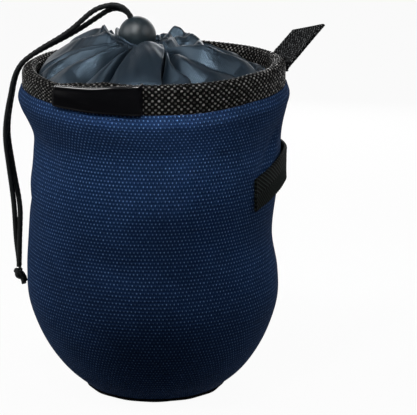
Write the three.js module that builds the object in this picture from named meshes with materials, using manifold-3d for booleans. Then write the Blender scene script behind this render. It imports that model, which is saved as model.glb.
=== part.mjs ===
// A chalk bag: a canvas bucket with a fleece lining, a stiffened webbing rim, and a nylon collar
// that a drawcord and a sprung ball cord lock hold shut.
// Millimetres, +Z up. The origin is the middle of the base, on the surface that the bag stands on.
// Angles go round the bag from its front, -Y, towards +X.
import * as THREE from "three";
import { mergeVertices } from "three/addons/utils/BufferGeometryUtils.js";
import Module from "manifold-3d";

const wasm = await Module();
wasm.setup();

// Driving dimensions
const CLEARANCE = 0.3; // between pieces that touch
const RIM_RADIUS = 55.9; // middle of the hoop in the rim
const RIM_TOP = 150;
const HOOP_RADIUS = 1.4;
const WEBBING_THICKNESS = 1.3;
const WEBBING_WIDTH = 25; // flat, before it is folded over the rim
const CANVAS_THICKNESS = 1.6;
const FLEECE_THICKNESS = 2.2;
const NYLON_THICKNESS = 0.9;
const BASE_RADIUS = 32;
const BASE_THICKNESS = 1.6;
const BELLY_RADIUS = 57.5; // widest part of the lower half
const WAIST_RADIUS = 55.9; // from there up to under the hem
const HEM_DROP = 11; // from the top of the rim to the canvas hem
const HEM_DIP = 1; // the hem sits lower at the front than at the sides
const HEM_BAND = 8; // depth of the flared hem
const LINING_DROP = 9; // from the top of the rim to the lining's edge

const PATCH_LENGTH = 42.5;
const PATCH_THICKNESS = 1.6;
const PATCH_TOP_LEFT = -2.4; // its slanted top edge, over the rim's top
const PATCH_TOP_RIGHT = 1.8;
const PATCH_ANGLE = -24.8;
const PATCH_SPRING = 0.6; // its stiff ends stand off the rim by this much

const TAB_ANGLE = 101;
const TAB_WIDTH = 18.5;
const TAB_LEAN = 40; // out from upright, in degrees
const TAB_SEWN_BACK = 8.5; // height that is sewn to the rim, along each edge
const TAB_SEWN_FRONT = 4.5;
const TAB_BACK_EDGE = 15.5; // free length of each edge
const TAB_FRONT_EDGE = 27;

const BRUSH_LOOP_WIDTH = 15;
const BRUSH_LOOP_THICKNESS = 1.2;
const BRUSH_LOOP_START = 50.5;
const BRUSH_LOOP_END = 120;
const BRUSH_LOOP_DROP = 41.5; // from the hem down to the middle of the band at its start
const BRUSH_LOOP_CLIMB = 7; // how much higher it is from its middle on
const BRUSH_LOOP_SLACK = 0.6; // how far its middle stands off the canvas

const COLLAR_SEWN = 10; // depth of its edge inside the rim
const COLLAR_SHOULDER = 3.3; // from the inside of the rim to where it turns in
const COLLAR_RISE = 14; // of its highest ring over the rim's top
const COLLAR_RIDGE = 11.1; // from the lock's ball out to that ring
const PLEAT_DEPTH = 6.6;

const CORD_RADIUS = 1.2;
const CORD_SPACING = 2.7; // between the two strands where they pass through the lock
const THROAT_LEFT = 3.4; // the throat is this far left of the bag's middle
const THROAT_RISE = 2.8; // and this far over the rim's top
const THROAT_TILT = 21; // how far the cords lean to the left of upright, in degrees
const RING_RADIUS = 3.4; // the cord's drawn loop in the collar's hem
const LIP_THICKNESS = 0.9; // cloth above and below the cord in the collar's hem
const LIP_COVER = 0.7; // how far that cloth reaches out from the middle of the cord

const LOCK_RADIUS = 8.4;
const LOCK_WALL = 1.85; // in front of the button's bore
const BUTTON_RADIUS = 4.2;
const BUTTON_TRAVEL = 2.4;
const BUTTON_WALL = 1.5; // on both sides of the button's cord slot
const BUTTON_DOME = 0.9;
const SPRING_WIRE = 0.25;
const SPRING_RADIUS = 2.6;
const SPRING_TURNS = 2.5;
const SPRING_ROOM = 1.75; // left for the spring when the button is pressed
const SPRING_PLAY = 0.15; // at each end of the spring

const KNOT_MIDDLE = new THREE.Vector3(-62.4, 0, 52.2);
const KNOT_SIZE = new THREE.Vector3(3.1, 3.2, 3.1);

// Facets
const BODY_SEGMENTS = 36;
const BODY_STEPS = 13; // up the canvas
const BALL_SEGMENTS = 24;
const RING_SEGMENTS = 24;
const CORD_SIDES = 8;
const PLEAT_STEPS = 4;

// Sizes that follow
const foldHalf = Math.max(HOOP_RADIUS, FLEECE_THICKNESS / 2) + CLEARANCE; // inside of the folded webbing
const rimHalf = foldHalf + WEBBING_THICKNESS; // half the rim's thickness
const rimMiddle = RIM_TOP - rimHalf; // height of the hoop
const webbingOuter = RIM_RADIUS + rimHalf;
const webbingInner = RIM_RADIUS - rimHalf;
const hemTop = RIM_TOP - HEM_DROP;
const hemRadius = webbingOuter + 2 * CLEARANCE + CANVAS_THICKNESS;
const skirt = (WEBBING_WIDTH - Math.PI * (foldHalf + WEBBING_THICKNESS / 2)) / 2; // each side below the fold
const hemLip = RING_RADIUS + LIP_COVER;
const THROAT = new THREE.Vector3(-THROAT_LEFT, 0, RIM_TOP + THROAT_RISE); // middle of the cord in the hem
const { degToRad: degrees, smoothstep: smooth, lerp } = THREE.MathUtils;

// Silhouette of the canvas from the base seam to the hem: height, radius, and how far it leans to the right
const upSide = (share) => share * hemTop;
const outFromBase = (share) => lerp(BASE_RADIUS, BELLY_RADIUS, share);
const BODY_OUTLINE = [
  [BASE_THICKNESS + CLEARANCE, outFromBase(0.015), 0],
  [upSide(0.068), outFromBase(0.35), 0],
  [upSide(0.144), outFromBase(0.65), -0.3],
  [upSide(0.223), outFromBase(0.86), -0.6],
  [upSide(0.31), outFromBase(0.996), -0.9],
  [upSide(0.403), BELLY_RADIUS, -1.2],
  [upSide(0.518), WAIST_RADIUS - 0.4, -2],
  [upSide(0.669), WAIST_RADIUS + 0.2, -0.2],
  [upSide(0.79), WAIST_RADIUS, 1.2],
  [upSide(0.85), WAIST_RADIUS + 0.1, 1.5],
  [hemTop - 1.75 * HEM_BAND, lerp(WAIST_RADIUS, hemRadius, 0.38), 0.8],
  [hemTop - HEM_BAND, hemRadius - 1, 0],
  [hemTop - HEM_BAND / 2, hemRadius, 0],
  [hemTop, hemRadius - 0.2, 0],
];

// Soft dents in the canvas: angle, height, half width in degrees, half height, depth
const DENTS = [
  [62, upSide(0.88), 12, 13, 1.5],
  [-58, upSide(0.81), 20, 10, 0.9],
  [-20, upSide(0.47), 26, 14, 0.8],
  [150, upSide(0.5), 24, 18, 1.2],
  [215, upSide(0.72), 20, 16, 1.1],
  [105, upSide(0.43), 18, 16, 0.9],
];

// Crests of the collar's pleats: angle, how much they rise over or sink under the others,
// and how far the cloth between the rim and the top has slumped there
const CRESTS = [
  [-6, 0, 0], [23, -1, 1.5], [50, -1.2, 3], [80, 0, 4], [112, 1, 4.5], [140, -2, 4.5], [167, -4.5, 3.5],
  [194, -4.5, 2.5], [221, -2, 1.5], [244, 0.5, 0.5], [263, 1.8, 0], [291, 0.3, 0], [315, -0.6, 0],
  [334, -0.8, 0],
];

// Collar from its sewn edge in to the drawn hem: radius, height over the rim's top, share of the depth
// of the pleats, share of the slump, and how far the cloth has turned to the throat's own middle and tilt
const sewnEdge = webbingInner - CLEARANCE;
const shoulder = webbingInner - COLLAR_SHOULDER;
const ridge = LOCK_RADIUS + COLLAR_RIDGE;
const dome = (share) => lerp(ridge, shoulder, share);
const crater = (share) => LOCK_RADIUS + share * COLLAR_RIDGE;
const rise = (share) => share * COLLAR_RISE;
const COLLAR_STATIONS = [
  [sewnEdge - 0.1, -COLLAR_SEWN, 0, 0, 0],
  [sewnEdge - 0.5, -COLLAR_SEWN / 2, 0.05, 0, 0],
  [shoulder, rise(-0.06), 0.24, 0.1, 0.02],
  [dome(0.85), rise(0.2), 0.45, 0.5, 0.06],
  [dome(0.65), rise(0.44), 0.6, 0.85, 0.15],
  [dome(0.42), rise(0.67), 0.76, 1, 0.3],
  [dome(0.18), rise(0.88), 0.9, 0.8, 0.5],
  [ridge, rise(1), 1, 0.3, 0.7],
  [crater(0.84), rise(0.96), 0.94, 0, 0.85],
  [crater(0.6), rise(0.76), 0.7, 0, 0.95],
  [crater(0.28), rise(0.46), 0.4, 0, 1],
];

// Routes of the two cord tails, from above the lock to the knot
const TAIL_FRONT = [
  [-11.6, -1.2, 173.3], [-13.9, -0.9, 175.3], [-17.4, -0.3, 176.3], [-21.2, 0.2, 175.8],
  [-25, 0.7, 174.5], [-28.6, 1.1, 172.2], [-32.4, 1.5, 168.8], [-37, 1.9, 164.8],
  [-42, 2.2, 161.3], [-47, 2.5, 158.3], [-51.6, 3, 155.4], [-55.8, 3.6, 152.4], [-59.4, 4.1, 149.2],
  [-61.9, 4.2, 145.2], [-63.5, 4, 140.6], [-64.6, 3.5, 135.4], [-65.8, 2.9, 130],
  [-66.8, 2.1, 124], [-67.3, 1.4, 118], [-67.1, 0.8, 112], [-66.4, 0.3, 106],
  [-65.7, 0, 100], [-65, -0.1, 94], [-64.4, 0, 88], [-64, 0.3, 82],
  [-63.8, 0.7, 76], [-63.6, 1, 70], [-63.2, 1.2, 64.5], [-62.7, 1.3, 59.8], [-62.4, 1.3, 55.7],
];
const TAIL_BACK = [
  [-11.7, 1.4, 172.6], [-13.8, 1.7, 173.8], [-17, 2.2, 174.3], [-20.4, 2.7, 173.3],
  [-24, 3.2, 171], [-27.7, 3.7, 168.5], [-31.5, 4.2, 165.9], [-36, 4.7, 163.1],
  [-41.2, 5.1, 160.2], [-46.6, 5.4, 157.4], [-51.5, 5.8, 154.7], [-55.6, 6.2, 152.2], [-59.1, 6.7, 149.1],
  [-61.6, 6.8, 145.1], [-63.1, 6.6, 140.6], [-64.1, 6.1, 135.4], [-65.1, 5.4, 130],
  [-66, 4.6, 124], [-66.3, 3.8, 118], [-65.8, 3.2, 112], [-64.9, 2.6, 106],
  [-64, 2.1, 100], [-63, 1.7, 94], [-62, 1.2, 88], [-61.4, 0.4, 82],
  [-61.5, -0.5, 76], [-61.8, -1, 70], [-62, -1.3, 64.5], [-62.2, -1.3, 59.8], [-62.4, -1.3, 55.7],
];

// Materials
const material = (color, roughness) => new THREE.MeshStandardMaterial({ color, roughness, metalness: 0 });
const canvas = material("#1c2f5e", 0.9);
const blackCanvas = material("#15161a", 0.9);
const fleece = material("#8b9098", 1);
const webbing = material("#1b1b1d", 0.75);
const leatherette = material("#0e0e10", 0.4);
const nylon = material("#3a4450", 0.55);
const cordage = material("#121314", 0.8);
const hoopPlastic = material("#d8d8d4", 0.5);
const lockPlastic = material("#23282a", 0.45);
const springSteel = new THREE.MeshStandardMaterial({ color: "#9a9da0", roughness: 0.3, metalness: 1 });

const bag = new THREE.Group();

function piece(name, geometry, look, parent = bag) {
  const mesh = new THREE.Mesh(geometry, look);
  mesh.name = name;
  parent.add(mesh);
  return mesh;
}

function around(radius, angle, height) {
  return new THREE.Vector3(radius * Math.sin(angle), -radius * Math.cos(angle), height);
}

// A closed skin through rings of points. Each section runs up the outside and down the inside.
function loft(angles, sectionAt) {
  const sections = angles.map(sectionAt);
  const count = sections[0].length;
  const positions = sections.flat().flatMap((p) => p.toArray());
  const index = [];
  sections.forEach((_, i) => {
    const next = (i + 1) % sections.length;
    for (let k = 0; k < count; k++) {
      const up = (k + 1) % count;
      const [a, b, c, d] = [i * count + k, next * count + k, next * count + up, i * count + up];
      index.push(a, b, c, a, c, d);
    }
  });
  const geometry = new THREE.BufferGeometry();
  geometry.setAttribute("position", new THREE.Float32BufferAttribute(positions, 3));
  geometry.setIndex(index);
  return geometry;
}

function evenAngles(segments) {
  return Array.from({ length: segments }, (_, i) => (2 * Math.PI * i) / segments);
}

function extrude(shape, depth) {
  return new THREE.ExtrudeGeometry(shape, { depth, bevelEnabled: false, curveSegments: 5 });
}

function moved(geometry, place) {
  const position = geometry.getAttribute("position");
  const point = new THREE.Vector3();
  for (let i = 0; i < position.count; i++) {
    point.fromBufferAttribute(position, i);
    const { x, y, z } = place(point);
    position.setXYZ(i, x, y, z);
  }
  return geometry;
}

function tube(points, radius, sides, steps) {
  const line = new THREE.CatmullRomCurve3(points, false, "centripetal");
  const section = new THREE.Shape(
    Array.from({ length: sides }, (_, i) => {
      const turn = (2 * Math.PI * i) / sides;
      return new THREE.Vector2(radius * Math.cos(turn), radius * Math.sin(turn));
    }),
  );
  return new THREE.ExtrudeGeometry(section, { extrudePath: line, steps, bevelEnabled: false });
}

function solidOf(geometry) {
  const bare = geometry.clone();
  bare.deleteAttribute("normal");
  bare.deleteAttribute("uv");
  const { attributes, index } = mergeVertices(bare);
  return new wasm.Manifold(
    new wasm.Mesh({
      numProp: 3,
      vertProperties: attributes.position.array,
      triVerts: new Uint32Array(index.array),
    }),
  );
}

function geometryOf(solid) {
  const { vertProperties, triVerts } = solid.getMesh();
  const geometry = new THREE.BufferGeometry();
  geometry.setAttribute("position", new THREE.BufferAttribute(vertProperties, 3));
  geometry.setIndex(new THREE.BufferAttribute(triVerts, 1));
  return geometry;
}

// Canvas bucket and fleece lining share one body surface, offset inwards.
const bodyLine = new THREE.CatmullRomCurve3(
  BODY_OUTLINE.map(([height, radius, lean]) => new THREE.Vector3(radius, lean, height)),
  false,
  "centripetal",
);

function bodyStations(inset) {
  return Array.from({ length: BODY_STEPS + 1 }, (_, i) => {
    const { x: radius, y: lean, z: height } = bodyLine.getPoint(i / BODY_STEPS);
    const along = bodyLine.getTangent(i / BODY_STEPS);
    const length = Math.hypot(along.x, along.z);
    return {
      radius: radius - (inset * along.z) / length,
      height: height + (inset * along.x) / length,
      lean,
    };
  });
}

function dentAt(angle, height) {
  let depth = 0;
  for (const [middle, level, halfWidth, halfHeight, deepest] of DENTS) {
    const turn = Math.atan2(Math.sin(angle - degrees(middle)), Math.cos(angle - degrees(middle)));
    const across = turn / degrees(halfWidth);
    const up = (height - level) / halfHeight;
    depth += deepest * Math.exp(-across * across - up * up);
  }
  return depth;
}

function bodyPoint(angle, { radius, height, lean }) {
  const nearHem = smooth(height, hemTop - 3 * HEM_BAND, hemTop);
  const calm = 1 - smooth(height, hemTop - 2 * HEM_BAND, hemTop - HEM_BAND);
  const point = around(radius - calm * dentAt(angle, height), angle, height);
  point.x += lean;
  point.z -= nearHem * HEM_DIP * Math.cos(angle);
  return point;
}

function shellPanel() {
  const section = [...bodyStations(0), ...bodyStations(CANVAS_THICKNESS).reverse()];
  section.at(-1).height = section[0].height; // the cut edge at the base seam is level
  return loft(evenAngles(BODY_SEGMENTS), (angle) => section.map((s) => bodyPoint(angle, s)));
}

function basePanel() {
  const round = BASE_THICKNESS / 2;
  const outline = [new THREE.Vector2(0, 0)];
  for (let turn = -90; turn <= 90; turn += 60) {
    const [out, up] = [Math.cos(degrees(turn)), Math.sin(degrees(turn))];
    outline.push(new THREE.Vector2(BASE_RADIUS - round + round * out, round + round * up));
  }
  outline.push(new THREE.Vector2(0, BASE_THICKNESS));
  return new THREE.LatheGeometry(outline, BODY_SEGMENTS).rotateX(Math.PI / 2);
}

const liningMouth = RIM_RADIUS + FLEECE_THICKNESS / 2;
const liningFloor = BASE_THICKNESS + CLEARANCE;

// One face of the lining: it follows the canvas, then rises straight into the folded webbing.
function liningFace(inset, mouth) {
  const low = liningFloor + FLEECE_THICKNESS + CLEARANCE;
  const stations = bodyStations(inset);
  const start = stations.findIndex((s) => s.height > low);
  const [below, above] = [stations[Math.max(start - 1, 0)], stations[start]];
  const share = start > 0 ? (low - below.height) / (above.height - below.height) : 0;
  const foot = { radius: lerp(below.radius, above.radius, share), height: low, lean: 0 };
  const face = stations
    .filter((s) => s.height > low + CLEARANCE && s.height < hemTop - HEM_BAND)
    .map((s) => ({ ...s, radius: Math.min(s.radius, mouth) }));
  const brim = { radius: mouth, height: hemTop - HEM_BAND / 2, lean: 0 };
  return [foot, ...face, brim, { ...brim, height: RIM_TOP - LINING_DROP }];
}

function liningSleeve() {
  const outside = CANVAS_THICKNESS + CLEARANCE;
  const section = [
    ...liningFace(outside, liningMouth),
    ...liningFace(outside + FLEECE_THICKNESS, liningMouth - FLEECE_THICKNESS).reverse(),
  ];
  return loft(evenAngles(BODY_SEGMENTS), (angle) => section.map((s) => bodyPoint(angle, s)));
}

function liningBase() {
  const edge = bodyStations(CANVAS_THICKNESS + CLEARANCE)[0].radius - CLEARANCE;
  const disc = new THREE.CylinderGeometry(edge, edge, FLEECE_THICKNESS, BODY_SEGMENTS / 2);
  return disc.rotateX(Math.PI / 2).translate(0, 0, liningFloor + FLEECE_THICKNESS / 2);
}

function rimHoop() {
  return new THREE.TorusGeometry(RIM_RADIUS, HOOP_RADIUS, 6, BODY_SEGMENTS).translate(0, 0, rimMiddle);
}

// Webbing folded lengthwise over the hoop: an arch with a skirt on each side
function rimWebbing() {
  const arch = (half) =>
    [0, 36, 72, 108, 144, 180].map((turn) => [
      RIM_RADIUS + half * Math.cos(degrees(turn)),
      rimMiddle + half * Math.sin(degrees(turn)),
    ]);
  const foot = rimMiddle - skirt;
  const outline = [
    [webbingOuter, foot],
    ...arch(rimHalf),
    [webbingInner, foot],
    [RIM_RADIUS - foldHalf, foot],
    ...arch(foldHalf).reverse(),
    [RIM_RADIUS + foldHalf, foot],
  ];
  return loft(evenAngles(BODY_SEGMENTS), (angle) => outline.map(([r, h]) => around(r, angle, h)));
}

// Leatherette label on the outside of the rim. Its foot follows the hem, its top edge slants,
// and because it is stiffer than the webbing its ends stand off the curve.
function frontPatch() {
  const onRim = webbingOuter + CLEARANCE + PATCH_THICKNESS / 2;
  const plate = new THREE.BoxGeometry(PATCH_THICKNESS, PATCH_LENGTH, 1, 1, 10, 4);
  return moved(plate, ({ x: off, y: along, z }) => {
    const angle = degrees(PATCH_ANGLE) + along / onRim;
    const share = along / PATCH_LENGTH;
    const foot = hemTop - HEM_DIP * Math.cos(angle) + 2 * CLEARANCE;
    const top = RIM_TOP + lerp(PATCH_TOP_LEFT, PATCH_TOP_RIGHT, share + 0.5);
    const standOff = PATCH_SPRING * 4 * share * share;
    return around(onRim + off + standOff, angle, lerp(foot, top, z + 0.5));
  });
}

// Webbing tab sewn up the outside of the rim, slanted, so that its front edge leaves the rim lower down
// and its back edge stays on it longer. Its end is cut off square to neither edge.
function pullTab() {
  const onRim = webbingOuter + CLEARANCE + WEBBING_THICKNESS / 2;
  const foot = hemTop + 3 * CLEARANCE;
  const out = around(1, degrees(TAB_ANGLE), 0);
  const back = around(1, degrees(TAB_ANGLE + 90), 0);
  const lean = new THREE.Vector2(Math.sin(degrees(TAB_LEAN)), Math.cos(degrees(TAB_LEAN)));
  const edge = (share) => {
    const leave = foot + lerp(TAB_SEWN_BACK, TAB_SEWN_FRONT, share);
    const free = lerp(TAB_BACK_EDGE, TAB_FRONT_EDGE, share);
    const along = (part) => new THREE.Vector3(onRim + lean.x * free * part, 0, leave + lean.y * free * part);
    const sewn = [new THREE.Vector3(onRim, 0, foot), along(0)];
    return new THREE.CatmullRomCurve3([...sewn, along(0.3), along(0.65), along(1)], false, "centripetal");
  };
  const strip = new THREE.BoxGeometry(WEBBING_THICKNESS, TAB_WIDTH, 1, 1, 5, 10);
  return moved(strip, ({ x: off, y: fromMiddle, z }) => {
    const line = edge(0.5 - fromMiddle / TAB_WIDTH);
    const { x: radius, z: height } = line.getPoint(z + 0.5);
    const run = line.getTangent(z + 0.5);
    const sag = RIM_RADIUS - Math.sqrt(RIM_RADIUS * RIM_RADIUS - fromMiddle * fromMiddle);
    return out.clone()
      .multiplyScalar(radius + off * run.z - sag)
      .addScaledVector(back, fromMiddle)
      .setZ(height - off * run.x);
  });
}

// Elastic band sewn to the canvas at both ends, slack in the middle, for a brush handle
function brushLoop() {
  const steps = 14;
  const start = hemTop - BRUSH_LOOP_DROP;
  const level = (share) => start + BRUSH_LOOP_CLIMB * Math.sin(Math.min(share, 0.5) * Math.PI);
  const stations = bodyStations(0);
  const face = (share) => {
    const angle = degrees(lerp(BRUSH_LOOP_START, BRUSH_LOOP_END, share));
    const near = stations.filter((s) => Math.abs(s.height - level(share)) < BRUSH_LOOP_WIDTH);
    const reach = near.map((s) => bodyPoint(angle, s)).map((p) => Math.hypot(p.x, p.y));
    const slack = BRUSH_LOOP_SLACK * Math.sin(Math.PI * share);
    return { angle, radius: Math.max(...reach) + CLEARANCE + slack };
  };
  const inner = [];
  const outer = [];
  for (let i = 0; i <= steps; i++) {
    const { angle, radius } = face(i / steps);
    const p = around(radius, angle, 0);
    const q = around(radius + BRUSH_LOOP_THICKNESS, angle, 0);
    inner.push(new THREE.Vector2(p.x, p.y));
    outer.push(new THREE.Vector2(q.x, q.y));
  }
  const band = extrude(new THREE.Shape([...outer, ...inner.reverse()]), BRUSH_LOOP_WIDTH);
  return moved(band, ({ x, y, z }) => {
    const angle = THREE.MathUtils.radToDeg(Math.atan2(x, -y));
    const share = (angle - BRUSH_LOOP_START) / (BRUSH_LOOP_END - BRUSH_LOOP_START);
    return new THREE.Vector3(x, y, level(share) - BRUSH_LOOP_WIDTH / 2 + z);
  });
}

// The throat's own frame: its Z is the way the cords leave.
const throatTurn = new THREE.Euler(0, -degrees(THROAT_TILT), 0);
const cordWay = new THREE.Vector3(0, 0, 1).applyEuler(throatTurn);

const crestAngles = CRESTS.map(([angle]) => degrees(angle));

// Angles through the collar, with a step on every crest and in every valley between two
function pleatAngles() {
  return crestAngles.flatMap((from, i) => {
    const to = i + 1 < crestAngles.length ? crestAngles[i + 1] : crestAngles[0] + 2 * Math.PI;
    return Array.from({ length: PLEAT_STEPS }, (_, k) => from + ((to - from) * k) / PLEAT_STEPS);
  });
}

// How deep a valley is at an angle, from 0 on a crest to 1 between two, and the crests' lift and slump there
function pleatAt(angle) {
  const last = crestAngles.length - 1;
  const i = crestAngles.findLastIndex((crest) => crest <= angle + 1e-9);
  const next = i < last ? crestAngles[i + 1] : crestAngles[0] + 2 * Math.PI;
  const share = (angle - crestAngles[i]) / (next - crestAngles[i]);
  const [here, there] = [CRESTS[i], CRESTS[i < last ? i + 1 : 0]];
  return {
    valley: Math.pow(1 - Math.abs(2 * share - 1), 1.4),
    lift: lerp(here[1], there[1], share),
    slump: lerp(here[2], there[2], share),
  };
}

function collarPoint(angle, [radius, over, depth, slumped, turned]) {
  const { valley, lift, slump } = pleatAt(angle);
  const puff = smooth(depth, 0.15, 0.9);
  const spoke = around(radius, angle, 0);
  const tilt = smooth(turned, 0.8, 1);
  spoke.applyEuler(new THREE.Euler(0, throatTurn.y * tilt, 0));
  const up = RIM_TOP + over + puff * lift - slumped * slump - depth * PLEAT_DEPTH * valley;
  const lean = cordWay.clone().multiplyScalar((RIM_TOP + over - THROAT.z) / cordWay.z);
  const middle = THROAT.clone().add(lean).multiplyScalar(turned);
  return new THREE.Vector3(middle.x + spoke.x, middle.y + spoke.y, up + spoke.z);
}

// A gathered sheet whose hem is folded round the drawn cord
function drawstringCollar() {
  const grip = CORD_RADIUS + CLEARANCE; // half the height of the channel in the hem
  const inThroat = (angle, radius, rise) =>
    around(radius, angle, rise).applyEuler(throatTurn).add(THROAT);
  return loft(pleatAngles(), (angle) => {
    const over = COLLAR_STATIONS.map((station) => collarPoint(angle, station));
    const under = over.map((p, i) => {
      const before = over[Math.max(i - 1, 0)];
      const after = over[Math.min(i + 1, over.length - 1)];
      const run = after.clone().sub(before);
      const flat = Math.hypot(run.x, run.y);
      const steep = Math.hypot(flat, run.z);
      const inward = new THREE.Vector3(run.x, run.y, 0).divideScalar(flat || 1);
      return p.clone()
        .addScaledVector(inward, (NYLON_THICKNESS * run.z) / steep)
        .setZ(p.z - (NYLON_THICKNESS * flat) / steep);
    });
    const hem = [
      inThroat(angle, hemLip, grip + LIP_THICKNESS),
      inThroat(angle, hemLip, grip),
      inThroat(angle, RING_RADIUS + grip, grip),
      inThroat(angle, RING_RADIUS + grip, -grip),
      inThroat(angle, hemLip, -grip),
      inThroat(angle, hemLip, -grip - LIP_THICKNESS),
      inThroat(angle, RING_RADIUS + grip + LIP_THICKNESS, -grip - LIP_THICKNESS),
    ];
    return [...over, ...hem, ...under.reverse()];
  });
}

// The lock sits on the drawn hem. In its frame the cords run along Z and the button along Y, to the back.
const cordExtent = CORD_SPACING / 2 + CORD_RADIUS; // from the middle of the pair to its edge
const slotHalf = cordExtent + CLEARANCE;
const buttonInner = -(slotHalf + BUTTON_WALL); // from the middle of the cord pair
const boreEnd = LOCK_WALL - LOCK_RADIUS;
const pairOffset = boreEnd + SPRING_ROOM + BUTTON_TRAVEL - buttonInner; // pair behind the ball's middle
const seatRise = CORD_RADIUS + CLEARANCE + LIP_THICKNESS;
const seatGap = LOCK_RADIUS + 1.5 * CLEARANCE;
const lockRise = seatRise + Math.sqrt(seatGap * seatGap - Math.pow(hemLip - pairOffset, 2));

const lock = new THREE.Group();
lock.position.copy(THROAT).addScaledVector(cordWay, lockRise);
lock.rotation.copy(throatTurn);
lock.position.y -= pairOffset;
bag.add(lock);

function cordSlot(from, to) {
  const slot = new THREE.Shape();
  const radius = CORD_RADIUS + CLEARANCE;
  slot.absarc(0, to - radius, radius, 0, Math.PI, false);
  slot.absarc(0, from + radius, radius, Math.PI, 2 * Math.PI, false);
  const long = 3 * LOCK_RADIUS;
  return extrude(slot, long).translate(0, 0, -long / 2);
}

function lockBody() {
  const ball = new THREE.SphereGeometry(LOCK_RADIUS, BALL_SEGMENTS, (2 * BALL_SEGMENTS) / 3);
  const boreRadius = BUTTON_RADIUS + CLEARANCE;
  const boreLength = 2 * LOCK_RADIUS;
  const bore = new THREE.CylinderGeometry(boreRadius, boreRadius, boreLength, BALL_SEGMENTS)
    .translate(0, boreEnd + boreLength / 2, 0);
  const slot = cordSlot(pairOffset - slotHalf, pairOffset + slotHalf);
  return geometryOf(solidOf(ball).subtract(solidOf(bore)).subtract(solidOf(slot)));
}

function lockButton() {
  const inner = pairOffset + buttonInner;
  const rimOfBall = Math.sqrt(LOCK_RADIUS * LOCK_RADIUS - BUTTON_RADIUS * BUTTON_RADIUS);
  const outer = Math.max(rimOfBall, pairOffset + slotHalf + BUTTON_WALL) + BUTTON_TRAVEL;
  const outline = [
    [0, inner], [BUTTON_RADIUS, inner], [BUTTON_RADIUS, outer],
    [0.92 * BUTTON_RADIUS, outer + 0.5 * BUTTON_DOME], [0.6 * BUTTON_RADIUS, outer + 0.85 * BUTTON_DOME],
    [0, outer + BUTTON_DOME],
  ].map(([x, y]) => new THREE.Vector2(x, y));
  const plunger = new THREE.LatheGeometry(outline, BALL_SEGMENTS);
  const slot = cordSlot(pairOffset - slotHalf, pairOffset + slotHalf + BUTTON_TRAVEL);
  return geometryOf(solidOf(plunger).subtract(solidOf(slot)));
}

function lockSpring() {
  const ends = SPRING_WIRE + SPRING_PLAY;
  const from = boreEnd + ends;
  const to = pairOffset + buttonInner - ends;
  const stepsPerTurn = 10;
  const count = Math.round(SPRING_TURNS * stepsPerTurn);
  const points = Array.from({ length: count + 1 }, (_, i) => {
    const turn = (2 * Math.PI * i) / stepsPerTurn;
    const height = lerp(from, to, i / count);
    return new THREE.Vector3(SPRING_RADIUS * Math.cos(turn), height, SPRING_RADIUS * Math.sin(turn));
  });
  return tube(points, SPRING_WIRE, 5, count);
}

// The cord's drawn loop in the collar's hem, and its two ends up through the lock
const riserTop = LOCK_RADIUS - 2 * CORD_RADIUS;
const strandAt = (side) => pairOffset + (side * CORD_SPACING) / 2;

function drawcordLoop() {
  const ring = new THREE.TorusGeometry(RING_RADIUS, CORD_RADIUS, CORD_SIDES, RING_SEGMENTS)
    .translate(0, pairOffset, -lockRise);
  let cord = solidOf(ring);
  for (const side of [-1, 1]) {
    const riser = new THREE.CylinderGeometry(CORD_RADIUS, CORD_RADIUS, riserTop + lockRise, CORD_SIDES)
      .rotateX(Math.PI / 2)
      .translate(0, strandAt(side), (riserTop - lockRise) / 2);
    cord = cord.add(solidOf(riser));
  }
  return geometryOf(cord);
}

// A tail carries on from the cord in the lock, out of its top.
function cordTail(side, route) {
  lock.updateMatrixWorld();
  const inLock = [riserTop + CLEARANCE, LOCK_RADIUS + CLEARANCE].map((rise) =>
    lock.localToWorld(new THREE.Vector3(0, strandAt(side), rise)),
  );
  const points = [...inLock, ...route.map(([x, y, z]) => new THREE.Vector3(x, y, z))];
  return tube(points, CORD_RADIUS, CORD_SIDES, 36);
}

// Overhand knot in both tails, with the wraps of the cord as shallow ridges
function cordKnot() {
  const knot = new THREE.SphereGeometry(1, 16, 10).rotateX(Math.PI / 2);
  return moved(knot, (p) => {
    const wraps = Math.cos(2 * Math.atan2(p.y, p.x) + 4 * p.z) * (1 - p.z * p.z);
    return p.multiplyScalar(1 + 0.08 * wraps).multiply(KNOT_SIZE).add(KNOT_MIDDLE);
  });
}

piece("shell_panel", shellPanel(), canvas);
piece("base_panel", basePanel(), blackCanvas);
piece("lining_sleeve", liningSleeve(), fleece);
piece("lining_base", liningBase(), fleece);
piece("rim_hoop", rimHoop(), hoopPlastic);
piece("rim_webbing", rimWebbing(), webbing);
piece("front_patch", frontPatch(), leatherette);
piece("pull_tab", pullTab(), webbing);
piece("brush_loop", brushLoop(), webbing);
piece("drawstring_collar", drawstringCollar(), nylon);
piece("drawcord_loop", drawcordLoop(), cordage, lock);
piece("cord_tail_front", cordTail(-1, TAIL_FRONT), cordage);
piece("cord_tail_back", cordTail(1, TAIL_BACK), cordage);
piece("cord_knot", cordKnot(), cordage);
piece("cord_lock_body", lockBody(), lockPlastic, lock);
piece("cord_lock_button", lockButton(), lockPlastic, lock);
piece("cord_lock_spring", lockSpring(), springSteel, lock);

export default bag;
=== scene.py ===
"""The looks of a chalk bag: a navy canvas bucket with a black webbing rim, a gathered nylon collar,
and a braided drawcord with a ball cord lock.

Sizes are in millimetres, in the frame of the solids: +Z up, -Y to the front, the origin under the base.
Angles go round the bag from its front towards +X. Meshes are turned to metres where they are made.
"""

import math

import bpy
import numpy as np
from mathutils import Matrix, Vector


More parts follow.
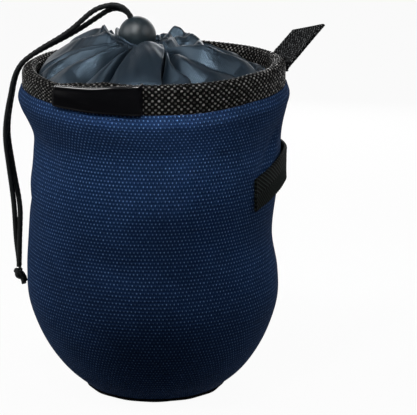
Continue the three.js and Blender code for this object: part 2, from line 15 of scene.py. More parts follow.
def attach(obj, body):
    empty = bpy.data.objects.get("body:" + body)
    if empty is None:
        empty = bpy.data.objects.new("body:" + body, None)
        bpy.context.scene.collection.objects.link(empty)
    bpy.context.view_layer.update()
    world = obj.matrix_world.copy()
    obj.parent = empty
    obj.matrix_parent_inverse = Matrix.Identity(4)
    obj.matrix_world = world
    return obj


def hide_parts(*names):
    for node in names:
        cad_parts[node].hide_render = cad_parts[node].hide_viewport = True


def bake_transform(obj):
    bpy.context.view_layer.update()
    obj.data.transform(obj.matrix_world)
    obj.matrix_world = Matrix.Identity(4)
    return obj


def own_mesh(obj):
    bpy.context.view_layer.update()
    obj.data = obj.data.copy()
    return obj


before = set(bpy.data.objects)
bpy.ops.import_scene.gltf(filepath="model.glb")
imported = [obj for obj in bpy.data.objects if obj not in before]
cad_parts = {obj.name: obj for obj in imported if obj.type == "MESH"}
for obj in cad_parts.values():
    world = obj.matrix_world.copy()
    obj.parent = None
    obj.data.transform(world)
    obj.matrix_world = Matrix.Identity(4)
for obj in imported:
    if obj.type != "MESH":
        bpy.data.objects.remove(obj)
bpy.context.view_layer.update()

MM = 0.001
CLOTH_MAP = "cloth"  # the UV map of every woven piece, in millimetres along its threads
SEED = 11  # of the canvas's ripples

# Sizes of the bag, as the solids have them
CLEARANCE = 0.3
RIM_RADIUS = 55.9
RIM_TOP = 150.0
RIM_HALF = 3.0
FOLD_HALF = 1.7
WEBBING_THICKNESS = 1.3
WEBBING_FOOT = 138.2
CANVAS_THICKNESS = 1.6
FLEECE_THICKNESS = 2.2
BASE_RADIUS = 32.0
BASE_THICKNESS = 1.6
BELLY_RADIUS = 57.5
WAIST_RADIUS = 55.9
HEM_TOP = 139.0
HEM_DIP = 1.0
HEM_BAND = 8.0
HEM_RADIUS = 61.1

# Silhouette of the canvas: height, radius, lean to the right
BODY_OUTLINE = [
    (1.9, 32.4, 0), (9.5, 40.9, 0), (20, 48.6, -0.3), (31, 53.9, -0.6), (43.1, 57.4, -0.9),
    (56, BELLY_RADIUS, -1.2), (72, WAIST_RADIUS - 0.4, -2), (93, WAIST_RADIUS + 0.2, -0.2),
    (109.8, WAIST_RADIUS, 1.2), (118.2, WAIST_RADIUS + 0.1, 1.5), (125, 57.9, 0.8),
    (HEM_TOP - HEM_BAND, HEM_RADIUS - 1, 0), (HEM_TOP - HEM_BAND / 2, HEM_RADIUS, 0),
    (HEM_TOP, HEM_RADIUS - 1.2, 0),
]

# How far the rim's top and the hem rise or sink from level, round the bag: angle and height
RIM_WAVE = [
    (-180, 0), (-110, -0.5), (-70, -1.1), (-49, -1.8), (-33, 0), (-22, 1.5), (-8, 1), (15, 1), (50, 1.6),
    (95, 1.9), (140, 0.8), (180, 0),
]
HEM_WAVE = [
    (-180, 0), (-110, 0.6), (-75, 1.4), (-50, 1), (-25, 0.2), (0, 0), (15, 0), (50, 1.6), (85, 2),
    (140, 0.8), (180, 0),
]

# Soft dents in the canvas: angle, height, half width in degrees, half height, depth
DENTS = [
    (62, 122.3, 12, 13, 1.5), (-58, 112.6, 20, 10, 0.9), (-20, 65.3, 26, 14, 0.8),
    (150, 69.5, 24, 18, 1.2), (215, 100, 20, 16, 1.1), (105, 59.8, 18, 16, 0.9),
]

# Creases in the canvas: from angle and height, to angle and height, half width, depth
CREASES = [
    (74, 123, 50, 104, 3.2, 0.9), (60, 116, 40, 116, 4.0, 0.5), (-70, 118, -48, 106, 4.5, 0.5),
    (-12, 88, 24, 82, 5.0, 0.45), (-40, 74, -8, 66, 5.5, 0.4), (10, 60, 44, 54, 5.0, 0.4),
    (-52, 44, -20, 36, 5.0, 0.4), (170, 112, 205, 98, 4.5, 0.7), (130, 86, 160, 74, 5.0, 0.6),
    (225, 60, 250, 48, 5.0, 0.5), (200, 40, 160, 34, 5.0, 0.5), (262, 92, 286, 84, 4.5, 0.5),
]

# Routes of the two cord tails from above the lock to the knot
TAIL_FRONT = [
    (-11.6, -1.2, 173.3), (-13.9, -0.9, 175.3), (-17.4, -0.3, 176.3), (-21.2, 0.2, 175.8),
    (-25, 0.7, 174.5), (-28.6, 1.1, 172.2), (-32.4, 1.5, 168.8), (-37, 1.9, 164.8),
    (-42, 2.2, 161.3), (-47, 2.5, 158.3), (-51.6, 3, 155.4), (-55.8, 3.6, 152.4), (-59.4, 4.1, 149.2),
    (-61.9, 4.2, 145.2), (-63.5, 4, 140.6), (-64.6, 3.5, 135.4), (-65.8, 2.9, 130),
    (-66.8, 2.1, 124), (-67.3, 1.4, 118), (-67.1, 0.8, 112), (-66.4, 0.3, 106),
    (-65.7, 0, 100), (-65, -0.1, 94), (-64.4, 0, 88), (-64, 0.3, 82),
    (-63.8, 0.7, 76), (-63.6, 1, 70), (-63.2, 1.2, 64.5), (-62.7, 1.3, 59.8), (-62.4, 1.3, 55.7),
]
TAIL_BACK = [
    (-11.7, 1.4, 172.6), (-13.8, 1.7, 173.8), (-17, 2.2, 174.3), (-20.4, 2.7, 173.3),
    (-24, 3.2, 171), (-27.7, 3.7, 168.5), (-31.5, 4.2, 165.9), (-36, 4.7, 163.1),
    (-41.2, 5.1, 160.2), (-46.6, 5.4, 157.4), (-51.5, 5.8, 154.7), (-55.6, 6.2, 152.2), (-59.1, 6.7, 149.1),
    (-61.6, 6.8, 145.1), (-63.1, 6.6, 140.6), (-64.1, 6.1, 135.4), (-65.1, 5.4, 130),
    (-66, 4.6, 124), (-66.3, 3.8, 118), (-65.8, 3.2, 112), (-64.9, 2.6, 106),
    (-64, 2.1, 100), (-63, 1.7, 94), (-62, 1.2, 88), (-61.4, 0.4, 82),
    (-61.5, -0.5, 76), (-61.8, -1, 70), (-62, -1.3, 64.5), (-62.2, -1.3, 59.8), (-62.4, -1.3, 55.7),
]

# Cord and lock: the cords run up from the collar's throat, tilted to the left, through the lock
CORD_RADIUS = 1.2
CORD_SPACING = 2.7
RING_RADIUS = 3.4
THROAT = np.array([-3.4, 0, 152.8])
THROAT_TILT = math.radians(21)
CORD_WAY = np.array([-math.sin(THROAT_TILT), 0, math.cos(THROAT_TILT)])
LOCK_RADIUS = 8.4
LOCK_RISE = 10.985
PAIR_OFFSET = 1.95
LOCK_MIDDLE = THROAT + LOCK_RISE * CORD_WAY - np.array([0, PAIR_OFFSET, 0])
RISER_TOP = LOCK_RADIUS - 2 * CORD_RADIUS
KNOT_MIDDLE = np.array([-62.4, 0, 52.2])


# Small tools

def linear(hex_code):
    """An sRGB hex colour as linear RGBA."""
    parts = [int(hex_code[i:i + 2], 16) / 255 for i in (1, 3, 5)]
    return [*(p / 12.92 if p <= 0.04045 else ((p + 0.055) / 1.055) ** 2.4 for p in parts), 1.0]


def in_use(source):
    """A node's first output that is in use, or the socket itself."""
    if isinstance(source, bpy.types.Node):
        return next(output for output in source.outputs if output.enabled)
    return source


def add(tree, kind, settings):
    """A shader node. A setting is an attribute, or an input by name or number: a value, or a node or socket
    to link."""
    made = tree.nodes.new("ShaderNode" + kind)
    for key, value in settings.items():
        if isinstance(key, str) and key not in made.inputs:
            setattr(made, key, value)
        elif isinstance(value, (bpy.types.Node, bpy.types.NodeSocket)):
            tree.links.new(in_use(value), made.inputs[key])
        else:
            made.inputs[key].default_value = value
    return made


def surface(name, settings):
    """A material with the numbers and colours that are the same all over it, and its node tree."""
    material = bpy.data.materials.new(name)
    material.use_nodes = True
    shader = material.node_tree.nodes["Principled BSDF"]
    for key, value in settings.items():
        shader.inputs[key].default_value = value
    return material, material.node_tree


def dressed(material, links):
    """The material, with nodes linked to its shader's inputs."""
    tree = material.node_tree
    for key, source in links.items():
        tree.links.new(in_use(source), tree.nodes["Principled BSDF"].inputs[key])
    return material


def around(radius, angle, height):
    """Points at an angle round the bag's axis."""
    return np.stack(np.broadcast_arrays(radius * np.sin(angle), -radius * np.cos(angle), height), -1)


def smooth_line(points, per_span=12):
    """A Catmull-Rom curve with centripetal spacing through points."""
    p = np.asarray(points, float)
    p = np.vstack([2 * p[0] - p[1], p, 2 * p[-1] - p[-2]])
    spans = []
    for a, b, c, d in zip(p, p[1:], p[2:], p[3:]):
        ta = 0.0
        tb = ta + np.linalg.norm(b - a) ** 0.5
        tc = tb + np.linalg.norm(c - b) ** 0.5
        td = tc + np.linalg.norm(d - c) ** 0.5
        t = np.linspace(tb, tc, per_span, endpoint=False)[:, None]
        ab = ((tb - t) * a + (t - ta) * b) / (tb - ta)
        bc = ((tc - t) * b + (t - tb) * c) / (tc - tb)
        cd = ((td - t) * c + (t - tc) * d) / (td - tc)
        abc = ((tc - t) * ab + (t - ta) * bc) / (tc - ta)
        bcd = ((td - t) * bc + (t - tb) * cd) / (td - tb)
        spans.append(((tc - t) * abc + (t - tb) * bcd) / (tc - tb))
    return np.vstack([*spans, p[-2:-1]])


def distances(line):
    """How far along a line each of its points is."""
    return np.concatenate([[0], np.cumsum(np.linalg.norm(np.diff(line, axis=0), axis=1))])


def length_of(line):
    """The length of a line."""
    return float(distances(line)[-1])


def evenly(line, count):
    """count points at even distances along a line."""
    run = distances(line)
    at = np.linspace(0, run[-1], count)
    return np.stack([np.interp(at, run, column) for column in line.T], -1)


def full_turn(columns, start=0.0):
    """A column of angles once round."""
    return (start + 2 * math.pi * np.arange(columns) / columns)[:, None]


def girth(radius, columns):
    """Distance round a circle at each column, and where it closes."""
    return 2 * math.pi * radius * np.arange(columns + 1) / columns


def step(low, high, x):
    """0 before low, 1 after high, and a smooth rise between them."""
    t = np.clip((x - low) / (high - low), 0, 1)
    return t * t * (3 - 2 * t)


def unit(v):
    """Vectors of length 1."""
    return v / np.maximum(np.linalg.norm(v, axis=-1, keepdims=True), 1e-12)


def ripples(x, y, length, count=7, seed=SEED):
    """Soft uneven waves about as long as length, from -1 to 1, alike at every run."""
    draw = np.random.default_rng(seed)
    total = np.zeros(np.broadcast(x, y).shape)
    for _ in range(count):
        heading, phase = draw.uniform(0, 2 * math.pi, 2)
        size = length * draw.uniform(0.7, 1.6)
        total = total + np.sin(2 * math.pi * (x * math.cos(heading) + y * math.sin(heading)) / size + phase)
    return total / count ** 0.5 / 1.5


def skin_normals(rings, closed):
    """Outward normals of rings of points, each a closed loop, joined end to end if closed."""
    down = np.roll(rings, -1, 1) - np.roll(rings, 1, 1)
    along = np.roll(rings, -1, 0) - np.roll(rings, 1, 0) if closed else np.gradient(rings, axis=0)
    return unit(np.cross(along, down))


def loft(name, rings, look, closed=False, u=None, v=None):
    """A closed mesh over rings of points in millimetres. Open ends are capped. u and v are the cloth's own
    distances along the rings' line and round a ring."""
    count, size = rings.shape[:2]
    spans = count if closed else count - 1
    i, k = np.meshgrid(np.arange(spans), np.arange(size), indexing="ij")
    j, m = (i + 1) % count, (k + 1) % size
    faces = np.stack([i * size + k, j * size + k, j * size + m, i * size + m], -1).reshape(-1, 4).tolist()
    if not closed:
        faces += [list(range(size))[::-1], list(range((count - 1) * size, count * size))]
    mesh = bpy.data.meshes.new(name)
    mesh.from_pydata((rings.reshape(-1, 3) * MM).tolist(), [], faces)
    u = np.arange(count + 1.0) if u is None else np.asarray(u, float)
    v = np.arange(size + 1.0) if v is None else np.asarray(v, float)
    corners = np.stack([
        np.stack([u[i], u[i + 1], u[i + 1], u[i]], -1),
        np.stack([v[k], v[k], v[k + 1], v[k + 1]], -1),
    ], -1).reshape(-1, 2)
    if not closed:
        ring = v[:size]
        corners = np.vstack([
            corners,
            np.stack([np.full(size, u[0]), ring[::-1]], -1),
            np.stack([np.full(size, u[count - 1]), ring], -1),
        ])
    mesh.uv_layers.new(name=CLOTH_MAP).uv.foreach_set("vector", corners.astype(np.float32).ravel())
    mesh.polygons.foreach_set("use_smooth", [True] * len(mesh.polygons))
    mesh.materials.append(look)
    piece = bpy.data.objects.new(name, mesh)
    bpy.context.scene.collection.objects.link(piece)
    return piece


def strip(name, middle, thickness, look, u, v, relief=0.0, edge=0.12):
    """A flat strap over a grid of points down its middle (along, across). Its long edges are rounded,
    and relief lifts its threads on both faces."""
    along, across = np.gradient(middle, axis=0), np.gradient(middle, axis=1)
    normal = unit(np.cross(along, across))
    share = np.abs(np.linspace(-1, 1, middle.shape[1]))
    round_off = np.sqrt(np.clip(1 - (np.clip(share - (1 - edge), 0, None) / edge) ** 2, 0.02, 1))
    half = (thickness / 2 * round_off)[None, :, None]
    lift = np.broadcast_to(relief, middle.shape[:2])[..., None] * round_off[None, :, None]
    top, under = middle + normal * (half + lift), middle - normal * (half + lift)
    rings = np.concatenate([under, top[:, ::-1]], 1)
    ring_v = np.concatenate([v, v[::-1], v[:1]])
    return loft(name, rings, look, u=np.append(u, u[-1]), v=ring_v)


def tube(name, line, radius, look, sides=16, relief=None, closed=False):
    """A round cord along a line. relief(run, turn) is how far its surface stands out."""
    ahead = np.roll(line, -1, 0) - np.roll(line, 1, 0) if closed else np.gradient(line, axis=0)
    ahead = unit(ahead)
    side = np.zeros_like(line)
    side[0] = unit(np.cross(ahead[0], (0, 1, 0.2)))
    for i in range(1, len(line)):
        side[i] = unit(side[i - 1] - ahead[i] * (side[i - 1] @ ahead[i]))
    other = np.cross(ahead, side)
    turn = 2 * math.pi * np.arange(sides) / sides
    run = distances(line)
    out = radius + (relief(run[:, None], turn[None, :]) if relief else np.zeros((len(line), sides)))
    spoke = np.cos(turn)[None, :, None] * side[:, None] + np.sin(turn)[None, :, None] * other[:, None]
    rings = line[:, None] + out[..., None] * spoke
    return loft(name, rings, look, closed, u=np.append(run, run[-1] + run[1]), v=girth(radius, sides))


# Materials

CANVAS_WARP, CANVAS_WEFT = 0.83, 1.65  # spacing of the canvas yarns across and up
CANVAS_ROWS = 3  # the power that sets rows of canvas yarn apart: odd, so that lower yarns stay lower
TAFFETA_PITCH = 0.45  # real taffeta is finer: drawn coarse enough to show
RIB_PITCH = 1.9  # spacing of the elastic's ribs


def woven(tree, across, along, narrow=1):
    """A plain weave from its thread spacings in millimetres: 1 on an upper thread, -1 on a lower one,
    0 between. narrow is a power that sets its rows apart."""
    parts = add(tree, "SeparateXYZ", {0: add(tree, "UVMap", {"uv_map": CLOTH_MAP})})
    waves = []
    for axis, pitch, power in (("X", across, 1), ("Y", along, narrow)):
        turn = add(tree, "Math", {"operation": "MULTIPLY", 0: parts.outputs[axis], 1: math.pi / pitch})
        thread = add(tree, "Math", {"operation": "SINE", 0: turn})
        waves.append(add(tree, "Math", {"operation": "POWER", 0: thread, 1: power}))
    return add(tree, "Math", {"operation": "MULTIPLY", 0: waves[0], 1: waves[1]})


def on_cloth(tree, across_mm, along_mm):
    """Cloth coordinates in which one unit is that many millimetres each way."""
    place = add(tree, "UVMap", {"uv_map": CLOTH_MAP})
    return add(tree, "Mapping", {0: place, "Scale": (1 / across_mm, 1 / along_mm, 1)})


def cotton_canvas(name, deep, thread, lit, lit_share):
    """Cotton duck, plain woven from thick dyed yarn: matt, with pale dots on the upper yarns that are a
    painted highlight.
    """
    material, tree = surface(name, {
        "Roughness": 0.9, "IOR": 1.5, "Specular IOR Level": 0.06,
        "Sheen Weight": 0.05, "Sheen Roughness": 0.5, "Sheen Tint": linear("#6f8fc0"),
    })
    weave = woven(tree, CANVAS_WARP, CANVAS_WEFT, CANVAS_ROWS)
    lower = add(tree, "Math", {"operation": "MULTIPLY", 0: weave, 1: -0.55})
    height = add(tree, "Math", {"operation": "MAXIMUM", 0: weave, 1: lower})
    slub = add(tree, "TexNoise", {"Vector": on_cloth(tree, 9, 1.1), "Scale": 1.0, "Detail": 3.0})
    cloud = add(tree, "TexNoise", {"Vector": on_cloth(tree, 34, 26), "Scale": 1.0, "Detail": 2.0})
    dot = add(tree, "TexNoise", {"Vector": on_cloth(tree, 1.7, 1.7), "Scale": 1.0, "Detail": 1.0})
    body = add(tree, "Mix", {"data_type": "RGBA", 0: slub, 6: linear(deep), 7: linear(thread)})
    # painted highlight: the upper yarns take the lit colour, dotted by a noise, in place of light on their
    # crowns
    upper = add(tree, "MapRange", {0: weave, 1: 0.15, 2: 0.85, 3: 0.0, 4: lit_share})
    speck = add(tree, "MapRange", {0: dot, 1: 0.36, 2: 0.66, 3: 0.25, 4: 1.0})
    painted_highlight = add(tree, "Math", {"operation": "MULTIPLY", 0: upper, 1: speck})
    dotted = add(tree, "Mix", {"data_type": "RGBA", 0: painted_highlight, 6: body, 7: linear(lit)})
    shade = add(tree, "MapRange", {0: cloud, 1: 0.3, 2: 0.7, 3: 0.82, 4: 1.12})
    tone = add(tree, "VectorMath", {"operation": "SCALE", 0: dotted, "Scale": shade})
    bump = add(tree, "Bump", {"Strength": 0.9, "Distance": 0.35 * MM, "Height": height})
    return dressed(material, {"Base Color": tone, "Normal": bump})


def nylon_webbing(name, weft, warp, gap, yarn):
    """Black nylon webbing: smooth filament yarns that glint where they cross, and dull gaps. The pale yarn
    colour on scattered upper yarns is a painted glint.
    """
    material, tree = surface(name, {
        "IOR": 1.53, "Specular IOR Level": 0.08, "Coat IOR": 1.9, "Coat Roughness": 0.3,
    })
    weave = woven(tree, weft, warp)
    fibre = add(tree, "TexNoise", {"Vector": on_cloth(tree, 1.6, 0.2), "Scale": 1.0, "Detail": 2.0})
    glint_noise = add(tree, "TexNoise", {"Vector": on_cloth(tree, 2.1, 1.4), "Scale": 1.0, "Detail": 1.0})
    # painted glint: the pale yarn colour goes on upper yarns that a noise picks; the same mask also sets
    # their roughness and coat
    upper = add(tree, "MapRange", {0: weave, 1: 0.1, 2: 0.7})
    glint_scatter = add(tree, "MapRange", {0: glint_noise, 1: 0.42, 2: 0.66, 3: 0.1, 4: 1.0})
    shine = add(tree, "Math", {"operation": "MULTIPLY", 0: upper, 1: glint_scatter})
    colour = add(tree, "Mix", {"data_type": "RGBA", 0: shine, 6: linear(gap), 7: linear(yarn)})
    rough = add(tree, "MapRange", {0: shine, 3: 1.0, 4: 0.2})
    bump = add(tree, "Bump", {"Strength": 0.3, "Distance": 0.1 * MM, "Height": fibre})
    return dressed(material, {
        "Base Color": colour, "Roughness": rough, "Normal": bump, "Coat Weight": shine, "Coat Normal": bump,
    })


def knitted_elastic():
    """Black knitted elastic: dull rubbery ribs that run slanted across the band, with a painted highlight
    along each rib's crest.
    """
    material, tree = surface("knitted_elastic", {"Roughness": 0.8, "Specular IOR Level": 0.08})
    fibre = add(tree, "TexNoise", {"Vector": on_cloth(tree, 0.7, 0.4), "Scale": 1.0, "Detail": 3.0})
    place = add(tree, "SeparateXYZ", {0: add(tree, "UVMap", {"uv_map": CLOTH_MAP})})
    cross = add(tree, "Math", {"operation": "SUBTRACT", 0: place.outputs["Y"], 1: LOOP_WIDTH / 2})
    off = add(tree, "Math", {"operation": "ABSOLUTE", 0: cross})
    slant = add(tree, "Math", {"operation": "ADD", 0: place.outputs["X"], 1: off})
    turn = add(tree, "Math", {"operation": "MULTIPLY", 0: slant, 1: 2 * math.pi / RIB_PITCH})
    rib = add(tree, "Math", {"operation": "SINE", 0: turn})
    # painted highlight: the crest of each rib is coloured pale grey
    top = add(tree, "MapRange", {0: rib, 1: 0.0, 2: 1.0})
    painted_rib_highlight = add(tree, "Math", {"operation": "MULTIPLY", 0: top, 1: fibre})
    colour = add(tree, "Mix", {"data_type": "RGBA", 0: painted_rib_highlight, 6: linear("#020303"), 7: linear("#3c4340")})
    bump = add(tree, "Bump", {"Strength": 0.4, "Distance": 0.12 * MM, "Height": fibre})
    return dressed(material, {"Base Color": colour, "Normal": bump})


def leatherette():
    """Black polyurethane leatherette: a smooth semi-gloss film with a fine embossed grain."""
    material, tree = surface("leatherette", {"IOR": 1.5, "Specular IOR Level": 0.02})
    grain = add(tree, "TexVoronoi", {"Vector": on_cloth(tree, 0.7, 0.7), "Scale": 1.0})
    scuff = add(tree, "TexNoise", {"Vector": on_cloth(tree, 8, 3), "Scale": 1.0, "Detail": 4.0})
    rough = add(tree, "MapRange", {0: scuff, 1: 0.3, 2: 0.7, 3: 0.17, 4: 0.3})
    colour = add(tree, "Mix", {"data_type": "RGBA", 0: scuff, 6: linear("#040405"), 7: linear("#0b0b0d")})
    bump = add(tree, "Bump", {"Strength": 0.25, "Distance": 0.08 * MM, "Height": grain})
    return dressed(material, {"Base Color": colour, "Roughness": rough, "Normal": bump})


def edge_paint():
    """Black lacquer on the label's rolled top edge: brushed on, glossy, a little wavy."""
    material, tree = surface("edge_paint", {
        "Base Color": linear("#08080a"), "IOR": 1.7, "Coat Weight": 1.0,
    })
    brush = add(tree, "TexNoise", {"Vector": on_cloth(tree, 5, 2), "Scale": 1.0, "Detail": 3.0})
    rough = add(tree, "MapRange", {0: brush, 1: 0.3, 2: 0.7, 3: 0.07, 4: 0.2})
    bump = add(tree, "Bump", {"Strength": 0.15, "Distance": 0.2 * MM, "Height": brush})
    return dressed(material, {"Roughness": rough, "Normal": bump})


def nylon_taffeta():
    """Slate nylon taffeta, thin and closely woven: a soft silky sheen on every crest, grey in the folds."""
    material, tree = surface("nylon_taffeta", {
        "Roughness": 0.4, "IOR": 1.53, "Specular IOR Level": 0.62, "Specular Tint": linear("#b4d4ee"),
        "Sheen Weight": 0.06, "Sheen Roughness": 0.35, "Sheen Tint": linear("#9db4c6"),
    })
    weave = woven(tree, TAFFETA_PITCH, TAFFETA_PITCH)
    crease = add(tree, "TexNoise", {"Vector": on_cloth(tree, 3, 9), "Scale": 1.0, "Detail": 4.0})
    cloud = add(tree, "TexNoise", {"Vector": on_cloth(tree, 12, 16), "Scale": 1.0, "Detail": 2.0})
    colour = add(tree, "Mix", {"data_type": "RGBA", 0: cloud, 6: linear("#0a1016"), 7: linear("#131c25")})
    fold = add(tree, "Bump", {"Strength": 0.35, "Distance": 0.5 * MM, "Height": crease})
    bump = add(tree, "Bump", {"Strength": 0.3, "Distance": 0.06 * MM, "Height": weave, "Normal": fold})
    return dressed(material, {"Base Color": colour, "Normal": bump})


def polyester_braid():
    """Black braided polyester cord: dull, with faint glints along its crossing strands."""
    material, tree = surface("polyester_braid", {"Roughness": 0.6, "Specular IOR Level": 0.15})
    fibre = add(tree, "TexNoise", {"Vector": on_cloth(tree, 0.6, 0.25), "Scale": 1.0, "Detail": 3.0})
    colour = add(tree, "Mix", {"data_type": "RGBA", 0: fibre, 6: linear("#060707"), 7: linear("#1d2022")})
    bump = add(tree, "Bump", {"Strength": 0.4, "Distance": 0.1 * MM, "Height": fibre})
    return dressed(material, {"Base Color": colour, "Normal": bump})


def moulded_acetal():
    """Dark acetal from a blasted mould: a broad soft highlight on a faintly uneven skin."""
    material, tree = surface("moulded_acetal", {"IOR": 1.48})
    place = add(tree, "TexCoord", {}).outputs["Object"]
    grit = add(tree, "TexNoise", {"Vector": place, "Scale": 1 / (0.35 * MM), "Detail": 2.0})
    haze = add(tree, "TexNoise", {"Vector": place, "Scale": 1 / (5 * MM), "Detail": 3.0})
    rough = add(tree, "MapRange", {0: haze, 1: 0.3, 2: 0.7, 3: 0.36, 4: 0.5})
    colour = add(tree, "Mix", {"data_type": "RGBA", 0: haze, 6: linear("#0d171c"), 7: linear("#16232a")})
    bump = add(tree, "Bump", {"Strength": 0.2, "Distance": 0.03 * MM, "Height": grit})
    return dressed(material, {"Base Color": colour, "Roughness": rough, "Normal": bump})


def polyester_fleece():
    """Grey polyester fleece: a short brushed pile that scatters light and shows no threads."""
    material, tree = surface("polyester_fleece", {
        "Roughness": 1.0, "Sheen Weight": 0.6, "Sheen Roughness": 0.6,
    })
    tuft = add(tree, "TexNoise", {"Vector": on_cloth(tree, 1.6, 1.6), "Scale": 1.0, "Detail": 4.0})
    colour = add(tree, "Mix", {"data_type": "RGBA", 0: tuft, 6: linear("#74797f"), 7: linear("#a4a9ae")})
    bump = add(tree, "Bump", {"Strength": 0.9, "Distance": 0.8 * MM, "Height": tuft})
    return dressed(material, {"Base Color": colour, "Normal": bump})


def extruded_polyethylene():
    """Natural polyethylene rod: milky and waxy, with faint lines along the draw."""
    material, tree = surface("extruded_polyethylene", {"Roughness": 0.5, "IOR": 1.51})
    place = add(tree, "TexCoord", {}).outputs["Object"]
    line = add(tree, "TexNoise", {"Vector": place, "Scale": 1 / (2 * MM), "Detail": 2.0})
    colour = add(tree, "Mix", {"data_type": "RGBA", 0: line, 6: linear("#cfcfca"), 7: linear("#e2e2dd")})
    return dressed(material, {"Base Color": colour})


def drawn_steel():
    """Spring wire of drawn steel: bright, with fine lines from the die."""
    material, tree = surface("drawn_steel", {"Metallic": 1.0, "Base Color": linear("#a7a9ab")})
    place = add(tree, "TexCoord", {}).outputs["Object"]
    line = add(tree, "TexNoise", {"Vector": place, "Scale": 1 / (0.4 * MM), "Detail": 2.0})
    rough = add(tree, "MapRange", {0: line, 1: 0.3, 2: 0.7, 3: 0.22, 4: 0.4})
    return dressed(material, {"Roughness": rough})


# Canvas bucket and lining

HUB_RADIUS = 0.4  # of the pin hole in the middle of a round panel
LINING_FLOOR_RADIUS = 30.2
CANVAS_RIPPLE, CANVAS_RIPPLE_LENGTH = 0.35, 38
SEAM_RISE, SEAM_PLACE, SEAM_HALF = 0.5, 2.2, 1.2  # the ridge of the side seam, beside the middle of the back


def turn_from(angle, middle):
    """An angle measured from another one, the short way round."""
    return np.arctan2(np.sin(angle - middle), np.cos(angle - middle))


def wave(table, angle):
    """Height from a table of angles in degrees, with a soft bend at each of them."""
    place, height = np.array(table, float).T
    at = np.degrees(turn_from(angle, 0))
    after = np.clip(np.searchsorted(place, at), 1, len(place) - 1)
    share = step(0, 1, (at - place[after - 1]) / (place[after] - place[after - 1]))
    return height[after - 1] + (height[after] - height[after - 1]) * share


def hollows(angle, height):
    """How far dents and creases pull the canvas in."""
    depth = np.zeros(np.broadcast(angle, height).shape)
    for middle, level, half_width, half_height, deepest in DENTS:
        across = turn_from(angle, math.radians(middle)) / math.radians(half_width)
        depth += deepest * np.exp(-across ** 2 - ((height - level) / half_height) ** 2)
    for from_angle, low, to_angle, high, half_width, deepest in CREASES:
        middle = math.radians((from_angle + to_angle) / 2)
        x = WAIST_RADIUS * turn_from(angle, middle)
        y = height - (low + high) / 2
        reach = np.array([WAIST_RADIUS * math.radians(to_angle - from_angle), high - low]) / 2
        half = np.linalg.norm(reach)
        along = (x * reach[0] + y * reach[1]) / half
        bow = 0.12 * half * (along / half) ** 2
        off = (-x * reach[1] + y * reach[0]) / half + bow
        fade = 1 - step(0.45, 1.15, np.abs(along) / half)
        furrow = np.exp(-(off / half_width) ** 2)
        ridge = 0.7 * np.exp(-((off - 1.9 * half_width) / half_width) ** 2)
        depth += deepest * fade * (furrow - ridge)
    return depth


BODY_LINE = smooth_line(BODY_OUTLINE)


def body_rows(count, inset):
    """Height, radius and lean at even steps from base to hem, of the canvas or a layer that far inside."""
    rows = evenly(BODY_LINE, count)
    way = np.gradient(rows, axis=0)
    long = np.hypot(way[:, 0], way[:, 1])
    height = rows[:, 0] + inset * way[:, 1] / long
    radius = rows[:, 1] - inset * way[:, 0] / long
    return np.stack([height, radius, rows[:, 2]], -1)


def body_points(angle, rows):
    """Points of the canvas for a column of angles and rows of height, radius and lean."""
    height, radius, lean = rows[:, 0], rows[:, 1], rows[:, 2]
    near_hem = step(HEM_TOP - 3 * HEM_BAND, HEM_TOP, height)
    calm = 1 - step(HEM_TOP - 2 * HEM_BAND, HEM_TOP - HEM_BAND, height)
    firm = calm * step(2, 14, height)
    x, y = WAIST_RADIUS * np.sin(angle) * 1.6, height + 40 * np.cos(angle)
    soft = CANVAS_RIPPLE * ripples(x, y, CANVAS_RIPPLE_LENGTH)
    pull = calm * hollows(angle, height) + firm * soft
    points = around(radius - pull, angle, height)
    points[..., 0] += lean
    points[..., 2] += near_hem * (wave(HEM_WAVE, angle) - HEM_DIP * np.cos(angle))
    return points


def canvas_wall(look):
    """The canvas bucket. Its turned hem is a soft roll, and its side seam runs down the back."""
    columns, levels, inner_levels, roll = 320, 130, 44, 7
    angle = full_turn(columns, math.pi)
    outside = body_points(angle, body_rows(levels, 0))
    inside = body_points(angle, body_rows(inner_levels, CANVAS_THICKNESS))
    inside[:, 0, 2] = outside[:, 0, 2]
    top_out, top_in = outside[:, -1], inside[:, -1]
    middle, half = (top_out + top_in) / 2, (top_out - top_in) / 2
    turns = np.linspace(0, math.pi, roll + 2)[1:-1]
    lip = np.stack([
        middle + half * math.cos(t) + np.array([0, 0, CANVAS_THICKNESS / 2 * math.sin(t)]) for t in turns
    ], 1)
    rings = np.concatenate([outside, lip, inside[:, ::-1]], 1)
    from_seam = turn_from(angle, math.pi) * WAIST_RADIUS
    back = step(5, 1.5, np.abs(from_seam))
    ridge = SEAM_RISE * back * np.exp(-((from_seam - SEAM_PLACE) / SEAM_HALF) ** 2)
    rings[:, :levels] += skin_normals(rings, True)[:, :levels] * ridge[..., None]
    rise = np.append(distances(rings[0]), 0)
    return loft("canvas_wall", rings, look, True, u=girth(WAIST_RADIUS, columns), v=rise)


def round_panel(name, look, edge, angle, radius, height, pucker=0.0):
    """A round panel from the radii and heights of its section, for a column of angles."""
    rings = around(radius + pucker, angle, height)
    across = np.append(np.cumsum(np.abs(np.gradient(radius))), 0)
    return loft(name, rings, look, True, u=girth(edge, len(angle)), v=across)


def canvas_base(look):
    """The round base, with a rolled and puckered seam edge."""
    columns, flat, edge, roll = 160, 12, 10, 1.2
    angle = full_turn(columns)
    bend = np.linspace(-1.4, 1.4, edge)
    flat_radius = np.linspace(HUB_RADIUS, BASE_RADIUS - roll - 1, flat)
    half = BASE_THICKNESS / 2
    radius = np.concatenate([flat_radius, BASE_RADIUS - roll + roll * np.cos(bend), flat_radius[::-1]])
    height = np.concatenate([np.zeros(flat), half + half * np.sin(bend), np.full(flat, BASE_THICKNESS)])
    near_edge = step(BASE_RADIUS - 6, BASE_RADIUS, radius)
    pucker = 0.25 * ripples(angle * BASE_RADIUS, radius * 0, 9) * near_edge
    return round_panel("canvas_base", look, BASE_RADIUS, angle, radius, height, pucker)


